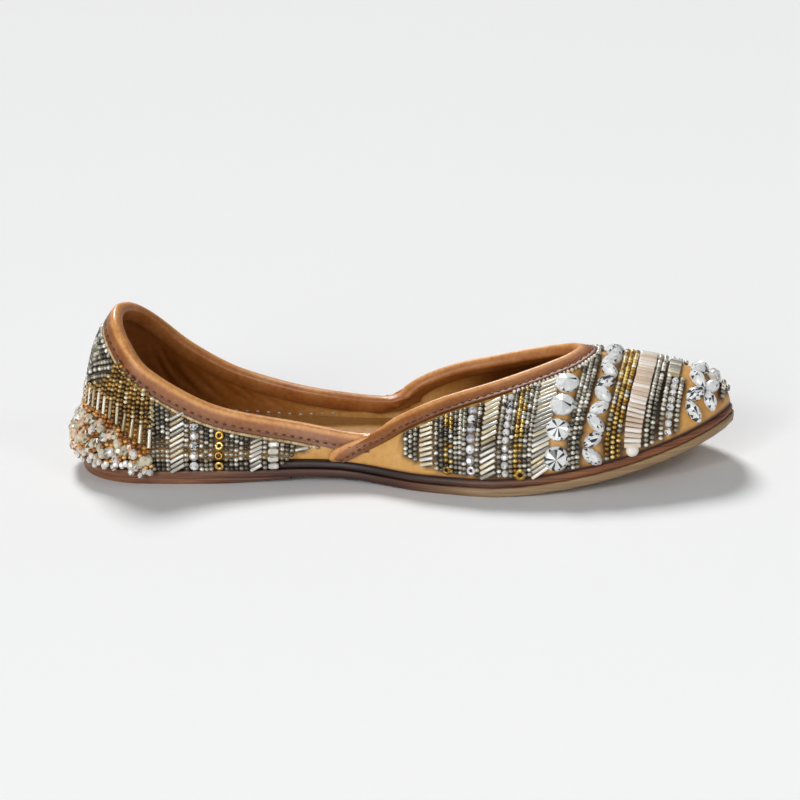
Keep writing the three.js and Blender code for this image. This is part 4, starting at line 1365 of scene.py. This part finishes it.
def lay_row(field, turn, v, side, kind, finishes, slant=0, extras=None):
    """Lays one row of beads along a line, which has the toe on its left."""
    model, length, width, thick, pitch, lies_across = BEAD_KINDS[kind]
    if len(turn) < 4:
        return
    extras = extras or {}
    turns, shares, way = spread(turn, v, pitch, bulge(turn, v))
    facing = wall_normal(turns, shares)
    sunk = MODELS[model][0][:, 2].min() * thick
    place = outside(turns, shares, BEAD_LIFT - sunk + bulge(turns, shares))
    forward = unit(np.cross(way, facing))
    slants = np.full(len(turns), math.radians(slant) * -side)
    if kind in ZIGZAG:
        slants = np.where(np.arange(len(turns)) % 2, slants, -slants)
    slants = slants + SLANT_CHANCE * (chance.random(len(turns)) - 0.5)
    rung = forward * np.cos(slants)[:, None] + way * np.sin(slants)[:, None]
    along = rung if lies_across else way
    size = (length, width, thick) * (1 + SIZE_CHANCE * (chance.random((len(turns), 3)) - 0.5))
    aside = abs(place[:, 1] - centre_line(place[:, 0]))
    keep = np.ones(len(turns), bool)
    if "part" in extras:
        keep = aside < MIDDLE_HALF if extras["part"] == "middle" else aside >= MIDDLE_HALF
    if "foot" in extras:
        feet = place[:, 2] < place[:, 2].max() - 1
        ends = np.array([0, len(turns) - 1])
        ends = ends[feet[ends]]
        keep[ends] = False
        end_model, *end_size = BEAD_KINDS[extras["foot"][0]][:4]
        lay(field, end_model, extras["foot"][1], place[ends], way[ends], facing[ends], end_size)
    choice = chance.integers(0, len(finishes), len(turns))
    for i, finish in enumerate(finishes):
        mine = keep & (choice == i)
        lay(field, model, finish, place[mine], along[mine], facing[mine], size[mine])


vamp_field = []
for x, kind, finishes, slant, *extras in VAMP_ROWS:
    for turn, v, side in rows_at(vamp_grid, x):
        lay_row(vamp_field, turn, v, side, kind, finishes, slant, *extras)
strew("vamp_beads", vamp_field, "vamp_beads", "vamp_beadwork")

# %% [markdown]
# On the quarter the rows stand upright, and they end in a point by the wing. Their feet hang over the edge
# of the sole.

# %% The chart of the quarter
QUARTER_ROWS = [
    (99.6, "seed", (GUNMETAL, SILVER), 0),
    (97.9, "seed", (SILVER, GUNMETAL), 0),
    (96.2, "seed", (GUNMETAL,), 0),
    (92.6, "short_bugle", (SILVER_BUGLE, CHAMPAGNE), 14),
    (89, "seed", (GUNMETAL, SILVER), 0),
    (87.2, "seed", (GUNMETAL,), 0),
    (85.4, "seed", (GUNMETAL, SILVER), 0),
    (82.1, "baguette", (SILVER_BUGLE,), 0),
    (78.9, "seed", (SILVER, GUNMETAL), 0),
    (75.6, "short_bugle", (SILVER_BUGLE, CHAMPAGNE), 26),
    (72, "seed", (GUNMETAL,), 0),
    (70.2, "seed", (SILVER, GUNMETAL), 0),
    (68.4, "seed", (GUNMETAL, SILVER), 0),
    (66.6, "seed", (SILVER, GUNMETAL), 0),
    (64.8, "seed", (GUNMETAL,), 0),
    (61.9, "ring", (GOLD_RING,), 0),
    (59, "seed", (SILVER, GUNMETAL), 0),
    (57.2, "seed", (GUNMETAL, SILVER), 0),
    (55.4, "seed", (SILVER, GUNMETAL), 0),
    (52.5, "stone", (CLEAR, FOILED), 0),
    (49.7, "seed", (GUNMETAL, SILVER), 0),
    (46.2, "bugle", (CHAMPAGNE, SILVER_BUGLE), 28),
    (42.6, "seed", (GUNMETAL, SILVER), 0),
    (40.8, "seed", (SILVER, GUNMETAL), 0),
    (39, "seed", (GUNMETAL,), 0),
    (37.2, "seed", (GUNMETAL, SILVER), 0),
    (35.4, "seed", (GUNMETAL,), 0),
]
quarter_field = []
for x, kind, finishes, slant in QUARTER_ROWS:
    for turn, v, side in rows_at(quarter_grid, x):
        lay_row(quarter_field, turn, v, side, kind, finishes, slant)

# %% [markdown]
# Round the back of the heel, under the binding, grey seeds run in leaning rows, which meet at its middle.
# Below them, and at the sides right from the binding, hang the strands of the fringe. Each row is a walk
# over the leather, which stops at the middle or where the strands begin.

# %% The heel field
HEEL_LEAN = 32
HEEL_ROWS_TO = 3.1
HEEL_MIDDLE = 0.03
HEEL_ROW_STEP, HEEL_ROW_LENGTH = 1.8, 30
HEAD_LAP = 0.6
strand_head = curve((0, 1.2, 2, 2.5, 3.3), (33, 34.5, 41, 50, 50))


def heel_lines(turns, shares, sides):
    """Lines down from these places, which lean toward the heel's middle, as far as it or the fringe."""
    down = into_wall(turns)
    level = unit(np.cross(wall_normal(turns, shares), down))
    lean = math.radians(HEEL_LEAN) * sides[:, None]
    heading = unit(down * np.cos(lean) - level * np.sin(lean))
    stops = [walk(turns, shares, heading, distance) for distance in np.linspace(0.1, HEEL_ROW_LENGTH, 28)]
    for turn, v in zip(*(np.stack(part, 1) for part in zip(*stops))):
        keep = outside(turn, v, 0)[:, 2] > strand_head(section_of(turn)) - HEAD_LAP
        keep &= turn * sides[0] > HEEL_MIDDLE
        yield turn[keep], v[keep]


heel_length = distances(outside(np.linspace(0, HEEL_ROWS_TO, 200), np.ones(200), 0))[-1]
heel_rows = int(heel_length / HEEL_ROW_STEP * math.cos(math.radians(HEEL_LEAN)))
row_turns = np.linspace(0, HEEL_ROWS_TO, heel_rows)
start_turns, start_shares = below_top(row_turns, BEADS_BELOW_TOP)
for side in (1, -1):
    for turn, v in heel_lines(start_turns * side, start_shares, np.full(len(start_turns), side)):
        lay_row(quarter_field, turn, v, OUTER, "seed", (GUNMETAL, SILVER))
strew("quarter_beads", quarter_field, "quarter_beads", "quarter_beadwork")

# %% [markdown]
# The fringe is threaded: pale bronze seeds, one long bugle, then amber seeds and faceted crystals that hang
# round the heel like a curtain. Between the strands run darker ones, which end at the bugles. All lie on
# the wall at first and swing clear of the sole below.

# %% Where the fringe hangs
FRINGE_REACH, FRINGE_STRANDS = 3.22, 29
FRINGE_OFF, FRINGE_OUT = 1.5, 2.8
HANG_FROM, HANG_TO = 26, 12
bugle_end = curve((0, 1.6, 2.3, 2.75, 3, 3.25), (27, 27, 24.5, 20, 17.5, 15))
fringe_end = curve((0, 2.5, 3.25), (6.6, 5.4, 3))


def hanging(turn, z):
    """A point of the strand at this turn and height. Low down it swings clear of the sole."""
    shares = np.linspace(0, 1, 120)
    wall = outside(np.full(120, turn), shares, FRINGE_OFF)
    on_wall = np.stack([np.interp(z, wall[:, 2], wall[:, i]) for i in range(3)], -1)
    clear = at_height(inset_point(np.full(len(z), turn), np.full(len(z), -FRINGE_OUT)), 0)
    share = smooth((HANG_FROM - z) / (HANG_FROM - HANG_TO))[:, None]
    point = on_wall * (1 - share) + clear * share
    point[:, 2] = z
    return point


def hang(field, kind, finish, turn, z, size, loose=0):
    """Hangs beads on a strand at these heights. Loose ones sway a little, each in its own way."""
    z = np.atleast_1d(np.asarray(z, float))
    sway = loose * (chance.random((len(z), 3)) - 0.5)
    place = hanging(turn, z) + sway
    way = unit(hanging(turn, z - 0.4) - hanging(turn, z + 0.4)) + 0.4 * sway
    facing = wall_normal(np.full(len(z), turn), np.full(len(z), 0.3))
    lay(field, kind, finish, place, way, facing, size)


def head_heights(turns):
    """Where the strands start: at the binding, or at the back under the grey rows."""
    binding = outside(*below_top(turns, BEADS_BELOW_TOP), 0)[:, 2]
    return np.minimum(binding, strand_head(abs(turns)))


reach_turns = np.linspace(-FRINGE_REACH, FRINGE_REACH, 400)
foot_far = distances(edge_point(reach_turns))
fringe_turns = np.interp(np.linspace(0, foot_far[-1], FRINGE_STRANDS), foot_far, reach_turns)
between = (fringe_turns[1:] + fringe_turns[:-1]) / 2
print(FRINGE_STRANDS, "strands", (foot_far[-1] / (FRINGE_STRANDS - 1)).round(1), "mm apart")

# %% [markdown]
# A strand is threaded from the top: seeds, the bugle, then amber seeds with a crystal after each few, and a
# small crystal as its tip. The loose ones at the bottom sway, each in its own way.

# %% The strands
STRAND_SEED, DARK_SEED, SEED_PITCH = (1.6, 2, 2), (1.6, 1.8, 1.8), 1.7
BUGLE_LENGTH, BUGLE_WIDE = 7, 1.3
CRYSTAL, TIP = (4.4, 3.6, 3.6), (3, 2.6, 2.6)
CRYSTALS = ("smoky_crystal", "smoky_crystal", "clear_crystal", "peach_crystal")
SPARSE_ABOVE = 46
DARK_OVER = 0.5


def hang_strand(field, turn, head, number):
    bottom, end = bugle_end(abs(turn)), fringe_end(abs(turn))
    seeds = np.arange(bottom + BUGLE_LENGTH + STRAND_SEED[0] / 2, head, SEED_PITCH)
    hang(field, "seed", "bright_bronze_glass", turn, seeds, STRAND_SEED)
    hang(field, "bugle", CHAMPAGNE, turn, bottom + BUGLE_LENGTH / 2, (BUGLE_LENGTH, BUGLE_WIDE, BUGLE_WIDE))
    hang_drops(field, turn, bottom, end, 1 + 2 * (number % 2))


def hang_drops(field, turn, z, end, seeds):
    """Hangs amber seeds and then crystals below a height, down to the strand's end."""
    half_seed = STRAND_SEED[0] / 2
    for _ in range(seeds):
        hang(field, "seed", "amber_glass", turn, z - half_seed, STRAND_SEED, 0.5)
        z -= STRAND_SEED[0]
    while z - CRYSTAL[0] > end + 1:
        finish = CRYSTALS[chance.integers(0, len(CRYSTALS))]
        hang(field, "drop", finish, turn, z - CRYSTAL[0] / 2, CRYSTAL, 1.2)
        hang(field, "seed", "amber_glass", turn, z - CRYSTAL[0] - half_seed, STRAND_SEED, 0.8)
        z -= CRYSTAL[0] + SEED_PITCH
    hang(field, "drop", "clear_crystal", turn, max(z - TIP[0] / 2, end + TIP[0] / 2), TIP, 0.8)


fringe_field = []
for number, (turn, head) in enumerate(zip(fringe_turns, head_heights(fringe_turns))):
    hang_strand(fringe_field, turn, head, number)
for turn, head in zip(between, head_heights(between)):
    low = bugle_end(abs(turn)) + DARK_OVER
    seeds = np.arange(low, min(head, SPARSE_ABOVE), SEED_PITCH)
    hang(fringe_field, "seed", "bronze_glass", turn, seeds, DARK_SEED)
    hang_drops(fringe_field, turn, low, fringe_end(abs(turn)) + 1.5, 2)
strew("fringe_beads", fringe_field, "fringe_beads", "heel_fringe")

# %% [markdown]
# Between the beads the leather is painted dark, as shade that falls into the narrow gaps among them. Each
# point of the upper that lies near a bead gets a number for that, and the leather's colour is darkened by it.

# %% Painted shade under the beads
BEAD_SHADE_FROM, BEAD_SHADE_TO = 3.2, 1.4
THREADED = ("seed", "bugle", "drop", "ring")
threaded = [group[2] for group in vamp_field + quarter_field + fringe_field if group[0] in THREADED]
sewn_places = to_scene(np.concatenate(threaded))
bead_tree = KDTree(len(sewn_places))
for number, place in enumerate(sewn_places):
    bead_tree.insert(place, number)
bead_tree.balance()
skin = outer_skin.data
near_bead = [bead_tree.find(vertex.co)[2] / MM for vertex in skin.vertices]
# painted shade: the nearer a bead, the darker the leather
painted_bead_shade = smooth((BEAD_SHADE_FROM - np.array(near_bead)) / (BEAD_SHADE_FROM - BEAD_SHADE_TO))
skin.attributes.new("shade_under_beads", "FLOAT", "POINT").data.foreach_set("value", painted_bead_shade)
print("points of the upper under beads:", int((painted_bead_shade > 0.5).sum()))

# %% [markdown]
# Small sewn details finish the strips: a cord of cream thread under the quarter's binding, a line of small
# beads round the throat, stitches along both bindings, and white thread inside that holds the lining down.
# Each is a row on a line that was walked over the leather.

# %% Piping and stitches
def sewn(field, line, pitch, kind, finishes, size, height, face=outside):
    """Lays small beads or stitches evenly along a line on one face of the upper."""
    turns, shares, way = spread(*line, pitch)
    place = face(turns, shares, height)
    facing = wall_normal(turns, shares)
    choice = chance.integers(0, len(finishes), len(turns))
    for i, finish in enumerate(finishes):
        mine = choice == i
        lay(field, kind, finish, place[mine], way[mine], facing[mine], size)


PIPING_TO, THROAT_ROW_FROM, LINING_ROW_TO = 5.35, 9.2, 5.7
trim = []
piping_turns = np.linspace(-PIPING_TO, PIPING_TO, 400)
piping = below_top(piping_turns, BINDING_OUT + 0.8)
sewn(trim, piping, 1.1, "seed", ("cream_cord",), (1.9, 1.3, 1.2), 0.7)
round_throat = vamp_turns[(vamp_turns > THROAT_ROW_FROM) & (vamp_turns < ROUND - THROAT_ROW_FROM)]
sewn(trim, below_top(round_throat, BINDING_OUT + 0.9), 1.6, "seed", (CREAM, SILVER), (1.45, 1.6, 1.5), 0.85)
STITCH_HEIGHT = GAP + BINDING_THICK - 0.15
QUARTER_STITCHES_TO = 5.95
seen_turns = quarter_turns[np.abs(quarter_turns) < QUARTER_STITCHES_TO]
seen_tops = np.ones_like(seen_turns)
quarter_stitches = walk(seen_turns, seen_tops, edge_way(seen_turns, seen_tops), STITCH_AT)
sewn(trim, quarter_stitches, 3.2, "dash", ("waxed_thread",), (1.7, 0.8, 0.4), STITCH_HEIGHT)
vamp_down = edge_way(vamp_turns, vamp_shares)
vamp_stitches = walk(vamp_turns, vamp_shares, vamp_down, STITCH_AT * vamp_narrow)
sewn(trim, vamp_stitches, 2.7, "dash", ("waxed_thread",), (1.6, 0.8, 0.4), STITCH_HEIGHT)
white_turns = np.linspace(-LINING_ROW_TO, LINING_ROW_TO, 300)
white_shares = np.interp(np.abs(white_turns), (0, 3, 5, LINING_ROW_TO), (0.08, 0.1, 0.16, 0.4))
sewn(trim, (white_turns, white_shares), 4.4, "dash", ("white_thread",), (1.5, 0.9, 0.5), 0.1, inside)
strew("piping_and_stitches", trim, "quarter_beads")
